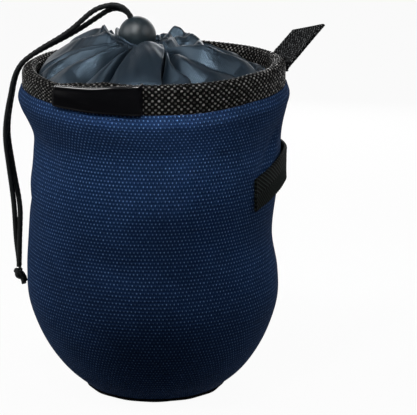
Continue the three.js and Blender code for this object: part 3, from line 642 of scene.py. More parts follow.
def fleece_sleeve(look):
    """The lining's wall, brushed side in. It follows the canvas and rises into the folded webbing."""
    columns, levels, low, high = 120, 60, 5, RIM_TOP - 9
    angle = full_turn(columns, math.pi)
    faces = []
    mouth = RIM_RADIUS + FLEECE_THICKNESS / 2
    for inset, limit in ((0, mouth), (FLEECE_THICKNESS, mouth - FLEECE_THICKNESS)):
        rows = body_rows(levels, CANVAS_THICKNESS + CLEARANCE + inset)
        rows = rows[(rows[:, 0] > low) & (rows[:, 0] < HEM_TOP - HEM_BAND)]
        rows[:, 1] = np.minimum(rows[:, 1], limit)
        brim = np.array([[HEM_TOP - HEM_BAND / 2, limit, 0], [high, limit, 0]])
        faces.append(body_points(angle, np.vstack([rows, brim])))
    rings = np.concatenate([faces[0], faces[1][:, ::-1]], 1)
    rise = np.append(distances(rings[0]), 0)
    return loft("fleece_sleeve", rings, look, True, u=girth(WAIST_RADIUS, columns), v=rise)


def fleece_floor(look):
    """The lining's round floor, thinner towards its edge."""
    columns, spokes, low = 72, 10, BASE_THICKNESS + CLEARANCE
    radius = np.linspace(HUB_RADIUS, LINING_FLOOR_RADIUS, spokes)
    radius = np.concatenate([radius, radius[::-1]])
    top = low + FLEECE_THICKNESS * (1 - 0.25 * np.linspace(1, 0, spokes) ** 4)
    height = np.concatenate([np.full(spokes, low), top])
    angle = full_turn(columns)
    return round_panel("fleece_floor", look, LINING_FLOOR_RADIUS, angle, radius, height)


# Rim, patch, tab and brush loop

WEFT_COUNT = 268  # even, so that the weave closes on itself round the rim
WEFT_PITCH = 2 * math.pi * RIM_RADIUS / WEFT_COUNT
WARP_PITCH = 1.15
YARN_RISE = 0.3
TAB_WEFT, TAB_WARP = 0.95, 0.8


def yarn_relief(u, v, weft, warp, rise):
    """How far the upper and lower yarns of the webbing stand out."""
    flatness, lower = 0.6, 0.4
    weave = np.sin(math.pi * u / weft) * np.sin(math.pi * v / warp)
    flat = np.sign(weave) * np.abs(weave) ** flatness
    return rise * np.maximum(flat, -lower * flat)


def rim_band(look):
    """Webbing folded over the hoop, with its yarns as real relief on the side that shows."""
    columns, outer, inner = 1300, 70, 5
    angle = full_turn(columns, math.pi)
    arch = RIM_TOP - RIM_HALF

    def section(half, count):
        """Radius, height and run of a fold that is twice half wide."""
        skirt = arch - WEBBING_FOOT
        run = np.linspace(-skirt - math.pi * half / 2, skirt + math.pi * half / 2, count)
        turn = np.clip(run / half, -math.pi / 2, math.pi / 2)
        fall = np.clip(np.abs(run) - math.pi * half / 2, 0, None)
        return RIM_RADIUS - half * np.sin(turn), arch + half * np.cos(turn) - fall, run

    out_radius, out_height, run = section(RIM_HALF, outer)
    in_radius, in_height, _ = section(FOLD_HALF, inner)
    radius = np.concatenate([out_radius, in_radius[::-1]])
    height = np.concatenate([out_height, in_height[::-1]])
    round_rim = girth(RIM_RADIUS, columns)
    wobble = 0.25 * ripples(RIM_RADIUS * np.sin(angle), RIM_RADIUS * np.cos(angle), 30, seed=5)
    foot_lift, top_lift = wave(HEM_WAVE, angle), wave(RIM_WAVE, angle) + wobble
    up = step(WEBBING_FOOT, RIM_TOP, height)
    rings = around(radius + 0 * angle, angle, height + foot_lift + (top_lift - foot_lift) * up)
    edge = step(0, 0.06, np.minimum(np.linspace(0, 1, outer), np.linspace(1, 0, outer)))
    relief = np.zeros((columns, outer + inner))
    relief[:, :outer] = edge * yarn_relief(
        round_rim[:-1, None], run[None], WEFT_PITCH, WARP_PITCH, YARN_RISE)
    rings = rings + skin_normals(rings, True) * relief[..., None]
    v = np.concatenate([run, np.full(inner, run[-1]), run[:1]])
    return loft("rim_band", rings, look, True, u=round_rim, v=v)


PATCH_LENGTH = 42.5
PATCH_THICKNESS = 1.6
PATCH_ANGLE = math.radians(-24.8)
PATCH_TOP = (-1.2, 2.0)
PATCH_SPRING = 0.6
PATCH_LEAN = 1.4  # how far its foot stands out over the hem
PATCH_HEIGHT = 12
PATCH_DIP, PATCH_EAR = 0.5, 0.9  # its top edge sags near its middle and rises at its right end
PATCH_BEAD, PATCH_CROWN, PATCH_DENT = 0.35, 0.35, 0.12  # thicker top edge, bulge and dents of its face
PATCH_TURN_IN = 1.1
PATCH_THINNER = 0.55  # share of its thickness that its ends lose


def rim_patch(look, edge_look):
    """Bare leatherette label on the rim, with a lacquered, rolled top edge and a right end that turns in."""
    stations, face, roll, back = 90, 26, 9, 10
    on_rim = RIM_RADIUS + RIM_HALF + CLEARANCE + PATCH_THICKNESS / 2
    along = np.linspace(-0.5, 0.5, stations)[:, None]
    angle = PATCH_ANGLE + along * PATCH_LENGTH / on_rim
    foot = HEM_TOP - HEM_DIP * np.cos(angle) + wave(HEM_WAVE, angle) + 2 * CLEARANCE
    top = RIM_TOP + PATCH_TOP[0] + (PATCH_TOP[1] - PATCH_TOP[0]) * (along + 0.5)
    top = top - PATCH_DIP * np.exp(-((along + 0.02) / 0.22) ** 2) + PATCH_EAR * step(0.455, 0.49, along)
    half = PATCH_THICKNESS / 2
    up = np.concatenate([
        np.linspace(0, 1, face), np.ones(roll), np.linspace(1, 0, back), np.zeros(roll),
    ])
    bend = np.linspace(0, math.pi, roll)
    off = np.concatenate([np.full(face, 1.0), np.cos(bend), np.full(back, -1.0), -np.cos(bend)])
    over = np.concatenate([np.zeros(face), np.sin(bend), np.zeros(back), -np.sin(bend)])
    bead = 1 + PATCH_BEAD * step(0.84, 1.0, up)
    crown = PATCH_CROWN * np.sin(math.pi * up) * (off > 0)
    end = 1 - PATCH_THINNER * step(0.465, 0.5, np.abs(along))
    spring = PATCH_SPRING * 4 * along ** 2
    stand_off = spring - PATCH_TURN_IN * step(0.46, 0.5, along) + PATCH_LEAN * (0.95 - up)
    dent = PATCH_DENT * ripples(along * PATCH_LENGTH, up * PATCH_HEIGHT, 11, seed=3)
    radius = on_rim + stand_off + half * bead * off * end + crown + dent * (off > 0)
    height = foot + half + (top - foot - 2 * half) * up + half * over * end
    rings = around(radius, angle, height)
    u = np.append(np.linspace(0, PATCH_LENGTH, stations), PATCH_LENGTH)
    patch = loft("rim_patch", rings, look, u=u, v=np.append(PATCH_HEIGHT * up, 0))
    patch.data.materials.append(edge_look)
    size = len(up)
    for polygon in patch.data.polygons[:(stations - 1) * size]:
        if face - 1 <= polygon.index % size < face + roll - 1:
            polygon.material_index = 1
    return patch


TAB_ANGLE = math.radians(102.7)
TAB_WIDTH = 21.5
TAB_LEAN = math.radians(40)
TAB_SEWN = (5.0, 1.0)
TAB_FOOT = 3.5  # how far its sewn end stays above the hem
TAB_FREE = (12.5, 25.7)
TAB_CURL = 0.9
TAB_YARN_RISE = 0.16


def tab_strip(look):
    """Webbing tab, sewn slanted up the rim's side. It leans out and ends in a slanted cut."""
    across, along = 96, 150
    on_rim = RIM_RADIUS + RIM_HALF + CLEARANCE + WEBBING_THICKNESS / 2 + YARN_RISE
    foot = HEM_TOP + TAB_FOOT + float(wave(RIM_WAVE, TAB_ANGLE)) + 3 * CLEARANCE
    lean = np.array([math.sin(TAB_LEAN), math.cos(TAB_LEAN)])
    out = around(1, TAB_ANGLE, 0)
    back = around(1, TAB_ANGLE + math.pi / 2, 0)
    middle = np.zeros((along, across, 3))
    from_middle = np.linspace(TAB_WIDTH / 2, -TAB_WIDTH / 2, across)
    for i, side in enumerate(from_middle):
        share = 0.5 - side / TAB_WIDTH
        leave = foot + TAB_SEWN[0] + (TAB_SEWN[1] - TAB_SEWN[0]) * share
        free = TAB_FREE[0] + (TAB_FREE[1] - TAB_FREE[0]) * share
        knots = [(on_rim, foot)]
        for part in (0, 0.3, 0.65, 1):
            knots.append((on_rim + lean[0] * free * part, leave + lean[1] * free * part))
        line = evenly(smooth_line(knots), along)
        sag = RIM_RADIUS - math.sqrt(RIM_RADIUS ** 2 - side ** 2)
        curl = TAB_CURL * (side / TAB_WIDTH * 2) ** 2 * np.linspace(0, 1, along) ** 2
        middle[:, i] = (line[:, :1] - sag + curl[:, None]) * out + side * back
        middle[:, i, 2] = line[:, 1]
    run = np.linspace(0, (sum(TAB_SEWN) + sum(TAB_FREE)) / 2, along)
    cross = np.linspace(0, TAB_WIDTH, across)
    relief = yarn_relief(run[:, None], cross[None], TAB_WEFT, TAB_WARP, TAB_YARN_RISE)
    return strip("tab_strip", middle, WEBBING_THICKNESS, look, run, cross, relief, edge=0.06)


LOOP_WIDTH = 15.0
LOOP_THICKNESS = 1.2
LOOP_START = 50.5
LOOP_END = 120.0
LOOP_START_HEIGHT = 97.5
LOOP_CLIMB = 7.0
LOOP_SLACK = 0.6
LOOP_CUP = 0.25
LOOP_RIB_RISE = 0.32


def loop_band(look):
    """Elastic band for a brush, sewn down at both ends and climbing to its middle."""
    across, along, levels, span = 48, 200, 150, 9
    share = np.linspace(0, 1, along)[:, None]
    angle = np.radians(LOOP_START + (LOOP_END - LOOP_START) * share)
    level = LOOP_START_HEIGHT + LOOP_CLIMB * np.sin(np.minimum(share, 0.5) * math.pi)
    rows = body_rows(levels, 0)
    wall = body_points(angle, rows)
    near = np.abs(rows[:, 0] - level) < LOOP_WIDTH
    reach = np.where(near, np.hypot(wall[..., 0], wall[..., 1]), 0).max(1)
    padded = np.pad(reach, span // 2, mode="edge")
    reach = np.convolve(padded, np.ones(span) / span, mode="valid")[:, None]
    slack = LOOP_SLACK * np.sin(math.pi * share)
    cross = np.linspace(-LOOP_WIDTH / 2, LOOP_WIDTH / 2, across)[None]
    radius = reach + CLEARANCE + slack + LOOP_THICKNESS / 2
    cup = LOOP_CUP * (2 * cross / LOOP_WIDTH) ** 4 * np.sin(math.pi * share)
    middle = around(radius + cup, angle, level + cross)
    run = WAIST_RADIUS * (angle[:, 0] - angle[0, 0])
    rib = np.sin(2 * math.pi * (run[:, None] + np.abs(cross)) / RIB_PITCH)
    relief = LOOP_RIB_RISE * np.maximum(rib, 0)
    v = cross[0] + LOOP_WIDTH / 2
    return strip("loop_band", middle, LOOP_THICKNESS, look, run, v, relief, edge=0.08)


# Gathered collar

# Folds of the collar in their order round it: angle at the rim, half way and at the ridge, height over
# the smooth collar half way and at the ridge, and 1 for a rounded crest or 0 for the tuck under it
FOLDS = [
    (-20, -20, -9, -1.5, -3, 1), (-7, -3, 8, 0.3, -0.8, 1), (4, 10.5, 27, -0.3, -2.4, 1),
    (4, 10, 28, -9, -11, 0), (19, 14.5, 33, -1.2, -6, 1), (22, 18, 37, -9, -11, 0),
    (38, 27, 42, -1.6, -7.5, 1), (50, 38, 43.5, -4.5, -9, 0), (64, 50, 46, 2.2, -4.6, 1),
    (70, 57, 52, -8, -10, 0), (92, 90, 86, -11.5, -6, 1), (103, 104, 105, -6, -11, 0),
    (116, 118, 122, -11.5, -3.5, 1), (127, 130, 136, -4, -10, 0), (138, 142, 150, -9.5, -3.5, 1),
    (152, 156, 164, -9, -9, 0), (167, 170, 180, -6, -7.5, 1), (181, 184, 192, -8.5, -10, 0),
    (194, 197, 204, -3.4, -5.4, 1), (208, 210, 216, -6.5, -9, 0), (219, 221, 227, -1, -2.2, 1),
    (228, 230, 236, -3, -2.6, 0), (240, 247, 246, 2.4, 1, 1), (246, 253, 268, -6, -3.4, 0),
    (254, 266, 304, 1.2, 1, 1), (270, 284, 326, -1.4, -1.8, 1), (275, 287, 328, -7, -8, 0),
    (283, 293, 331, -1.4, -2.2, 1), (290, 300, 336, -8, -9.5, 0), (305, 320, 341, 0, -2.6, 1),
    (318, 325, 343, -9, -10.5, 0), (329, 334, 345, -0.8, -3.6, 1), (333, 336.5, 347, -8, -10, 0),
]
COLLAR_THICKNESS = 0.5
COLLAR_EDGE = RIM_RADIUS - RIM_HALF - CLEARANCE - 0.3
COLLAR_SHOULDER = RIM_RADIUS - RIM_HALF - 3.3
COLLAR_RIDGE = LOCK_RADIUS + 11.1
COLLAR_HALF_WAY = 32.1
COLLAR_START = 45.1

# How far the drawn hem stands up round the lock: angle and height
RUFFLE = [
    (-180, 1), (-150, 6.4), (-124, 10.2), (-108, 12.2), (-92, 12.2), (-80, 10.8), (-49, 9),
    (-23, 5.6), (-3, 3), (20, 1), (60, 0), (100, -1), (140, -1.8), (165, -1), (180, 1),
]

# How far a loop of slack cloth stands up round the back of the throat: angle and height
SLACK_LOOP = [
    (-180, 0), (58, 0), (72, 3), (90, 6), (112, 5.8), (132, 5.6), (146, 7.2), (156, 4), (165, 0), (180, 0),
]
SLACK_RADIUS = 24.6
SLACK_HALF_WIDTH = 2.3

# Small unevenness of the cloth: gathers along the drawn hem, and a crumple over the folds
GATHER_COUNT, GATHER_RISE = 41, 0.15
CRUMPLE_LENGTH, CRUMPLE_RISE = 9, 0.25

# Collar from its sewn edge to the drawn hem: radius, height over the rim, share of the folds' heights
# half way and at the ridge, how far it has turned to the throat's own middle and tilt, and share of the
# hem's ruffle
COLLAR_STATIONS = [
    (COLLAR_EDGE, -10, 0, 0, 0, 0), (COLLAR_EDGE - 0.4, -5, 0, 0, 0, 0),
    (COLLAR_SHOULDER, -0.8, 0.42, 0, 0.02, 0), (COLLAR_START, 2.8, 0.74, 0, 0.06, 0),
    (39.1, 6.2, 0.95, 0, 0.15, 0), (COLLAR_HALF_WAY, 9.4, 1, 0, 0.3, 0),
    (24.9, 12.3, 0.5, 0.5, 0.5, 0), (COLLAR_RIDGE, 14, 0, 1, 0.7, 0), (17.3, 12.9, 0, 0.92, 0.85, 0.25),
    (15.2, 10.4, 0, 0.5, 0.95, 0.5), (12.9, 7.8, 0, 0.12, 1, 0.74), (12.6, 7.4, 0, 0.06, 1, 0.86),
    (13.2, 7.4, 0, 0.06, 1, 0.92), (13.1, 7.4, 0, 0.05, 1, 1), (12.2, 7.2, 0, 0.05, 1, 0.98),
    (10.6, 5.6, 0, 0.1, 1, 0.3), (6.6, 4.6, 0, 0.08, 1, 0),
]

# Section of the hem round the cord, in the throat's own frame: radius and height
HEM_SECTION = [
    (5.2, 2.5), (4.3, 2.4), (4.1, 2.0), (4.6, 1.6), (5.0, 1.2), (5.0, -1.2), (4.3, -1.6), (4.3, -2.2),
    (6.0, -2.2),
]


def collar(look):
    """Nylon collar drawn shut and a little twisted: rounded crests and sharp valleys from rim to throat."""
    per_fold, rows = 13, 104
    stations = evenly(smooth_line(COLLAR_STATIONS), rows)
    radius, over, half_way, ridge, turned, ruffle = stations.T[:, None, :]
    first = FOLDS[0]
    last = (*(first[k] + 360 for k in range(3)), *first[3:])
    here = np.repeat(np.array(FOLDS, float), per_fold, 0)[..., None]
    there = np.repeat(np.array([*FOLDS[1:], last], float), per_fold, 0)[..., None]
    share = np.tile(np.arange(per_fold) / per_fold, len(FOLDS))[:, None]
    rim_angle, mid_angle, ridge_angle = (here[:, k] + (there[:, k] - here[:, k]) * share for k in range(3))
    crest_here, crest_there = here[:, 5], there[:, 5]
    off_crest, on_to_crest = share ** 1.6, 1 - (1 - share) ** 1.7
    slope = np.where(crest_here < crest_there, on_to_crest, step(0, 1, share))
    slope = np.where(crest_here > crest_there, off_crest, slope)
    mid_height, ridge_height = (here[:, k] + (there[:, k] - here[:, k]) * slope for k in (3, 4))
    inward = np.clip((COLLAR_START - radius) / (COLLAR_START - COLLAR_RIDGE), 0, 1)
    theta = np.radians(rim_angle * (1 - inward) * (1 - 2 * inward) + mid_angle * 4 * inward * (1 - inward)
                       + ridge_angle * inward * (2 * inward - 1))
    gathers = np.sin(theta * GATHER_COUNT + 2 * np.sin(theta * 5)) * step(0.3, 0.9, ruffle)
    crumple = ripples(70 * theta, radius * 0.5, CRUMPLE_LENGTH, 9, seed=8) * step(0.2, 0.8, half_way + ridge)
    stand_up = np.interp(np.degrees(turn_from(theta, 0)), *zip(*RUFFLE))
    slack = wave(SLACK_LOOP, theta) * np.exp(-((radius - SLACK_RADIUS) / SLACK_HALF_WIDTH) ** 2)
    up = (RIM_TOP + over + half_way * mid_height + ridge * ridge_height
          + ruffle * stand_up + slack + GATHER_RISE * gathers + CRUMPLE_RISE * crumple)
    spoke = around(radius, theta, 0 * theta)
    throat_turn = THROAT_TILT * step(0.8, 1, turned)
    lean = (RIM_TOP + over - THROAT[2]) / CORD_WAY[2]
    middle_x = (THROAT[0] + lean * CORD_WAY[0]) * turned
    upper_x = middle_x + spoke[..., 0] * np.cos(throat_turn)
    upper_z = up + spoke[..., 0] * np.sin(throat_turn)
    upper = np.stack([upper_x, spoke[..., 1], upper_z], -1)
    turn = theta[:, -1]
    hem_rows = []
    for r, z in HEM_SECTION:
        x = r * np.sin(turn)
        ring = np.stack([x * math.cos(THROAT_TILT), -r * np.cos(turn), x * math.sin(THROAT_TILT)], -1)
        hem_rows.append(THROAT + ring + z * CORD_WAY)
    hem = np.stack(hem_rows, 1)
    ahead = np.roll(upper, -1, 0) - np.roll(upper, 1, 0)
    lower = upper + unit(np.cross(np.gradient(upper, axis=1), ahead)) * COLLAR_THICKNESS
    rings = np.concatenate([upper, hem, lower[:, ::-1]], 1)
    u = COLLAR_EDGE * np.append(np.radians(rim_angle[:, 0]), np.radians(last[0]))
    v = np.append(distances(rings[0]), 0)
    return loft("gathered_collar", rings, look, True, u=u, v=v)


# Cord, knot and cord lock

LOCK_FRAME = Matrix.Translation(Vector(LOCK_MIDDLE * MM)) @ Matrix.Rotation(-THROAT_TILT, 4, "Y")
CORD_SIDES = 14
TAIL_STEP = 0.35  # between the rings of a tail
KNOT_SIZE = 0.66
KNOT_CORD, END_CORD = 1.12, 1.1  # the cord's radius in the knot, which squeezes it, and in its cut ends

# Cut ends of the two tails under the knot, from its middle
CUT_ENDS = {
    "cut_end_front": [(0.6, -1.2, -1.0), (1.6, -1.4, -2.4), (2.2, -1.8, -4.6)],
    "cut_end_back": [(0.8, 1.2, -0.8), (2.0, 1.3, -2.0), (2.6, 1.0, -4.2)],
}


def in_lock(points):
    """Points of the lock's own frame, in which the cords run along Z and the button along Y."""
    turned = np.asarray(points, float) @ np.array(LOCK_FRAME.to_3x3()).T
    return turned + LOCK_MIDDLE


def braid_relief(run, turn):
    """Strands that cross over each other in two spirals."""
    lay, strands, rise, sunk = 2.6, 4, 0.09, 0.05
    one = np.cos(strands * turn + 2 * math.pi * run / lay)
    two = np.cos(strands * turn - 2 * math.pi * run / lay)
    return rise * np.maximum(one, two) - sunk


def tail_line(side, route):
    """The line of one tail, from the lock along its route."""
    strand = PAIR_OFFSET + side * CORD_SPACING / 2
    start = in_lock([(0, strand, RISER_TOP + CLEARANCE), (0, strand, LOCK_RADIUS + CLEARANCE)])
    line = smooth_line(np.vstack([start, route]))
    return evenly(line, round(length_of(line) / TAIL_STEP))


def drawn_loop(look):
    """The cord in the collar's hem, and its two ends up through the lock, as one line."""
    low = -LOCK_RISE
    ring = [
        (RING_RADIUS * math.sin(t), PAIR_OFFSET - RING_RADIUS * math.cos(t), low)
        for t in np.radians(np.arange(50, 320, 18))
    ]
    strand = CORD_SPACING / 2
    straight = (RISER_TOP, 0, low + 6.4, low + 5.3, low + 4.2)
    first = [(0, PAIR_OFFSET - strand, z) for z in straight]
    last = [(0, PAIR_OFFSET + strand, z) for z in reversed(straight)]
    points = in_lock([*first, *ring, *last])
    line = evenly(smooth_line(points), 220)
    return tube("drawn_loop", line, CORD_RADIUS, look, CORD_SIDES, braid_relief)


def overhand_knot(look):
    """Both tails tied in one overhand knot, as a closed trefoil of cord."""
    t = np.linspace(0, 2 * math.pi, 240, endpoint=False)
    wide = 2 + np.cos(3 * t)
    path = np.stack([
        KNOT_SIZE * np.sin(3 * t) * 1.5, KNOT_SIZE * wide * np.cos(2 * t), KNOT_SIZE * wide * np.sin(2 * t),
    ], -1)
    slant = np.array(Matrix.Rotation(math.radians(-28), 3, "Y"))
    line = path @ slant.T + KNOT_MIDDLE
    return tube("overhand_knot", line, KNOT_CORD, look, CORD_SIDES, braid_relief, closed=True)


def cord_end(name, points, look):
    """A short end of cord that comes out of the knot."""
    line = evenly(smooth_line(np.array(points) + KNOT_MIDDLE), 28)
    return tube(name, line, END_CORD, look, CORD_SIDES, braid_relief)


def turned_piece(name, outline, look, columns=72):
    """A body of revolution about the lock's Y axis, from a list of radius and height."""
    outline = np.asarray(outline, float)
    turn = -full_turn(columns)
    radius, height = outline[:, 0], outline[:, 1]
    points = np.stack(np.broadcast_arrays(radius * np.cos(turn), height, radius * np.sin(turn)), -1)
    return loft(name, points, look, True)


def carved(piece, cutters, bevel):
    """piece with the cutters taken out of it and the cut edges softened."""
    for cutter in cutters:
        cut = piece.modifiers.new("cut", "BOOLEAN")
        cut.operation = "DIFFERENCE"
        cut.object = cutter
        cut.solver = "EXACT"
    soft = piece.modifiers.new("soft", "BEVEL")
    soft.width = bevel * MM
    soft.segments = 3
    soft.limit_method = "ANGLE"
    soft.angle_limit = math.radians(50)
    bpy.context.view_layer.update()
    depsgraph = bpy.context.evaluated_depsgraph_get()
    finished = bpy.data.meshes.new_from_object(piece.evaluated_get(depsgraph))
    piece.modifiers.clear()
    piece.data = finished
    for cutter in cutters:
        bpy.data.objects.remove(cutter)
    return piece


def slot_cutter(low, high, look):
    """A long round-ended slot along the cords."""
    radius, long = CORD_RADIUS + CLEARANCE, 3 * LOCK_RADIUS
    turns = np.linspace(0, math.pi, 13)
    far = [(radius * math.cos(t), high - radius + radius * math.sin(t)) for t in turns]
    near = [(-radius * math.cos(t), low + radius - radius * math.sin(t)) for t in turns]
    rings = np.array([[(x, y, z) for x, y in far + near] for z in (-long / 2, long / 2)])
    return loft("slot_cutter", rings, look)


BUTTON_RADIUS = 4.2
BUTTON_TRAVEL = 2.4
BORE_END = -6.55
SLOT_HALF = 2.85
BUTTON_INNER = -2.4
BUTTON_OUTER = 10.57
POLE = 0.02  # the radius at which a turned outline meets its axis


def lock_ball(look):
    """The lock's ball, with the button's bore and the cord slot. It is turned about the cords' line, so that
    the cord slot takes out its poles."""
    turns = np.linspace(-math.pi / 2, math.pi / 2, 66)
    outline = [(max(LOCK_RADIUS * math.cos(t), POLE), LOCK_RADIUS * math.sin(t)) for t in turns]
    ball = turned_piece("lock_ball", outline, look, 96)
    ball.data.transform(Matrix.Rotation(math.pi / 2, 4, "X"))
    wide, out = BUTTON_RADIUS + CLEARANCE, 2 * LOCK_RADIUS
    bore_outline = [(POLE / 2, BORE_END), (wide, BORE_END), (wide, out), (POLE / 2, out)]
    bore = turned_piece("bore_cutter", bore_outline, look)
    carved(ball, [bore, slot_cutter(PAIR_OFFSET - SLOT_HALF, PAIR_OFFSET + SLOT_HALF, look)], 0.25)
    ball.data.transform(LOCK_FRAME)
    return ball


def lock_button(look):
    """The lock's plunger: a domed cap on a round stem, with a slot for both cords."""
    r, low, high, rise = BUTTON_RADIUS, BUTTON_INNER, BUTTON_OUTER, 0.9
    foot = [(POLE, low), (0.5 * r, low), (0.96 * r, low), (r, low + 0.2)]
    dome = [(r * math.cos(t), high - rise + rise * math.sin(t)) for t in np.linspace(0, 1.5, 12)]
    outline = [*foot, (r, 0), (r, high - 3), *dome, (POLE, high)]
    button = turned_piece("lock_button", outline, look)
    slot = slot_cutter(PAIR_OFFSET - SLOT_HALF, PAIR_OFFSET + SLOT_HALF + BUTTON_TRAVEL, look)
    carved(button, [slot], 0.2)
    button.data.transform(LOCK_FRAME)
    return button


def lock_spring(look):
    """The coil spring between the bore's end and the plunger."""
    wire, radius, turns, gap = 0.25, 2.6, 2.5, 0.15
    t = np.linspace(0, 2 * math.pi * turns, 140)
    ends = wire + gap
    height = np.linspace(BORE_END + ends, BUTTON_INNER - ends, len(t))
    points = in_lock(np.stack([radius * np.cos(t), height, radius * np.sin(t)], -1))
    return tube("lock_spring", points, wire, look, 10)


# Stage

PHOTO_WIDTH = 417
PHOTO_FOCAL = 2150  # in pixels of the photograph
BAG_AXIS_PIXEL = 153  # where the bag's own axis stands in the photograph
CAMERA_PLACE = (0, -950, 332)
CAMERA_PITCH = math.radians(14.7)
FLOOR_BAG, FLOOR_FRONT = 120, 350  # the white sheet fades out of reflections this far in front of the bag
FLOOR_REACH = 6000
FLOOR_GLOW = 0.95  # share of its own light in the white floor that the camera sees
ROOM_LEVEL = 0.07  # of the room that the camera doesn't see

# Lamps: name, place, aim, width, power in watts, spread in degrees
LAMPS = [
    ("high_softbox", (-80, -205, 540), (0, 20, 165), 110, 0.05, 30),
    ("left_wall", (-450, -150, 420), (0, 0, 110), 400, 2.0, 180),
    ("right_wall", (430, -200, 420), (0, 0, 110), 400, 1.15, 180),
    ("front_grid", (-60, -430, 420), (0, -50, 148), 60, 0.018, 14),
    ("back_wall", (110, 560, 240), (0, 60, 80), 400, 1.1, 180),
]


def camera():
    """The camera that took the photograph."""
    data = bpy.data.cameras.new("photo_camera")
    data.sensor_width = 36
    data.lens = PHOTO_FOCAL / PHOTO_WIDTH * data.sensor_width
    data.clip_start = 0.05
    data.clip_end = 50
    made = bpy.data.objects.new("photo_camera", data)
    made.location = Vector(CAMERA_PLACE) * MM
    yaw = math.atan((PHOTO_WIDTH / 2 - BAG_AXIS_PIXEL) / PHOTO_FOCAL)
    made.rotation_euler = (math.pi / 2 - CAMERA_PITCH, 0, -yaw)
    bpy.context.scene.collection.objects.link(made)
    bpy.context.scene.camera = made


def lamp(name, place, aim, size, power, spread):
    """A round area lamp, turned to its aim."""
    data = bpy.data.lights.new(name, "AREA")
    data.shape = "DISK"
    data.size = size * MM
    data.energy = power
    data.spread = math.radians(spread)
    made = bpy.data.objects.new(name, data)
    made.location = Vector(place) * MM
    made.rotation_euler = (Vector(aim) - Vector(place)).to_track_quat("-Z", "Y").to_euler()
    bpy.context.scene.collection.objects.link(made)


def ray_kinds(tree):
    """A source that is 1 for rays of the camera, and one that is 1 for mirrored rays or rays in glass."""
    path = add(tree, "LightPath", {})
    mirrored = add(tree, "Math", {
        "operation": "MAXIMUM", 0: path.outputs["Is Glossy Ray"], 1: path.outputs["Is Transmission Ray"],
    })
    return path.outputs["Is Camera Ray"], mirrored


def pale_floor():
    """A floor that the camera sees as white. Mirrors do too, but not far in front of the bag."""
    mesh = bpy.data.meshes.new("floor")
    reach = FLOOR_REACH * MM
    corners = [(-reach, -reach, 0), (reach, -reach, 0), (reach, reach, 0), (-reach, reach, 0)]
    mesh.from_pydata(corners, [], [(0, 1, 2, 3)])
    floor = bpy.data.objects.new("floor", mesh)
    bpy.context.scene.collection.objects.link(floor)
    material = bpy.data.materials.new("pale_floor")
    material.use_nodes = True
    tree = material.node_tree
    tree.nodes.clear()
    by_camera, mirrored = ray_kinds(tree)
    place = add(tree, "SeparateXYZ", {0: add(tree, "TexCoord", {}).outputs["Object"]})
    sheet = add(tree, "MapRange", {0: place.outputs["Y"], 1: -FLOOR_FRONT * MM, 2: -FLOOR_BAG * MM})
    in_mirror = add(tree, "Math", {"operation": "MULTIPLY", 0: mirrored, 1: sheet})
    seen = add(tree, "Math", {"operation": "MAXIMUM", 0: by_camera, 1: in_mirror})
    white_paint = add(tree, "BsdfDiffuse", {"Color": linear("#f2f2f2")})
    glow = add(tree, "Emission", {"Strength": 1.0})
    white_floor = add(tree, "MixShader", {0: FLOOR_GLOW, 1: white_paint, 2: glow})
    grey_floor = add(tree, "BsdfDiffuse", {"Color": linear("#505050")})
    both = add(tree, "MixShader", {0: seen, 1: grey_floor, 2: white_floor})
    out = add(tree, "OutputMaterial", {"Surface": both})
    out.is_active_output = True
    mesh.materials.append(material)


def white_room():
    """A room that the camera sees as white. Mirrors see a white backdrop behind the bag in a dim room."""
    world = bpy.data.worlds.new("studio")
    bpy.context.scene.world = world
    world.use_nodes = True
    tree = world.node_tree
    walls = tree.nodes["Background"]
    by_camera, mirrored = ray_kinds(tree)
    way = add(tree, "SeparateXYZ", {0: add(tree, "TexCoord", {}).outputs["Generated"]})
    behind = add(tree, "MapRange", {0: way.outputs["Y"], 1: 0.0, 2: 0.4})
    below_top = add(tree, "MapRange", {0: way.outputs["Z"], 1: 0.62, 2: 0.42})
    backdrop = add(tree, "Math", {"operation": "MULTIPLY", 0: behind, 1: below_top})
    reflected = add(tree, "MapRange", {0: backdrop, 3: ROOM_LEVEL, 4: 1.0})
    unseen = add(tree, "Mix", {0: mirrored, 2: ROOM_LEVEL, 3: reflected})
    level = add(tree, "Mix", {0: by_camera, 2: unseen, 3: 1.0})
    tree.links.new(in_use(level), walls.inputs["Strength"])
    walls.inputs["Color"].default_value = linear("#fafbfc")


def studio():
    """Floor, room and lamps round the bag."""
    pale_floor()
    white_room()
    for settings in LAMPS:
        lamp(*settings)
    bpy.context.scene.view_settings.view_transform = "Standard"


# Putting it together

def seat(piece, body, nodes):
    """A piece that rides a body in place of nodes."""
    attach(piece, body)
    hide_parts(*nodes)
    return piece


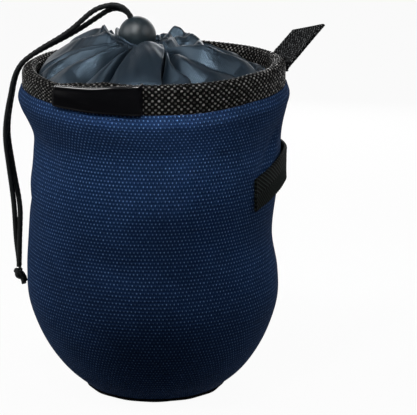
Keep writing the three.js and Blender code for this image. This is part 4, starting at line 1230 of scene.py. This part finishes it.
def main():
    """Sets the stage and makes every piece, with the solids that it replaces and, but for the cord tails,
    the body that it rides.
    """
    camera()
    studio()
    # the third colour of each canvas is a painted highlight on its upper yarns
    navy = cotton_canvas("navy_cotton_canvas", "#0c1c36", "#1a3258", "#6f93c2", 0.72)
    black = cotton_canvas("black_cotton_canvas", "#0b0b0c", "#151412", "#2c2926", 0.5)
    # the last colour of each webbing is a painted glint on its yarns
    webbing = nylon_webbing("nylon_webbing", WEFT_PITCH, WARP_PITCH, "#010101", "#63605d")
    tape = nylon_webbing("fine_nylon_webbing", TAB_WEFT, TAB_WARP, "#08090a", "#36393b")
    elastic, patch_look = knitted_elastic(), leatherette()
    taffeta, braid, acetal = nylon_taffeta(), polyester_braid(), moulded_acetal()
    fleece, rod, steel = polyester_fleece(), extruded_polyethylene(), drawn_steel()

    knot = seat(overhand_knot(braid), "bag", ["cord_knot"])
    ends = [cord_end(name, points, braid) for name, points in CUT_ENDS.items()]
    for end in ends:
        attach(end, "bag")
    for name, node, side, route, pieces in (
        ("cord_front", "cord_tail_front", -1, TAIL_FRONT, [knot, *ends]),
        ("cord_back", "cord_tail_back", 1, TAIL_BACK, []),
    ):
        line = tail_line(side, route)
        tail = tube(name, line, CORD_RADIUS, braid, CORD_SIDES, braid_relief)
        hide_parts(node)
        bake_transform(tail)

    wall = seat(canvas_wall(navy), "bag", ["shell_panel"])
    seat(canvas_base(black), "bag", ["base_panel"])
    seat(fleece_sleeve(fleece), "bag", ["lining_sleeve"])
    seat(fleece_floor(fleece), "bag", ["lining_base"])
    rim = seat(rim_band(webbing), "bag", ["rim_webbing"])
    seat(rim_patch(patch_look, edge_paint()), "bag", ["front_patch"])
    seat(tab_strip(tape), "bag", ["pull_tab"])
    seat(loop_band(elastic), "bag", ["brush_loop"])
    gathered = seat(collar(taffeta), "bag", ["drawstring_collar"])
    seat(drawn_loop(braid), "bag", ["drawcord_loop"])
    seat(lock_ball(acetal), "cord_lock", ["cord_lock_body"])
    seat(lock_button(acetal), "lock_button", ["cord_lock_button"])
    spring = seat(lock_spring(steel), "cord_lock", ["cord_lock_spring"])
    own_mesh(spring)
    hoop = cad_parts["rim_hoop"]
    hoop.data.materials.clear()
    hoop.data.materials.append(rod)


main()
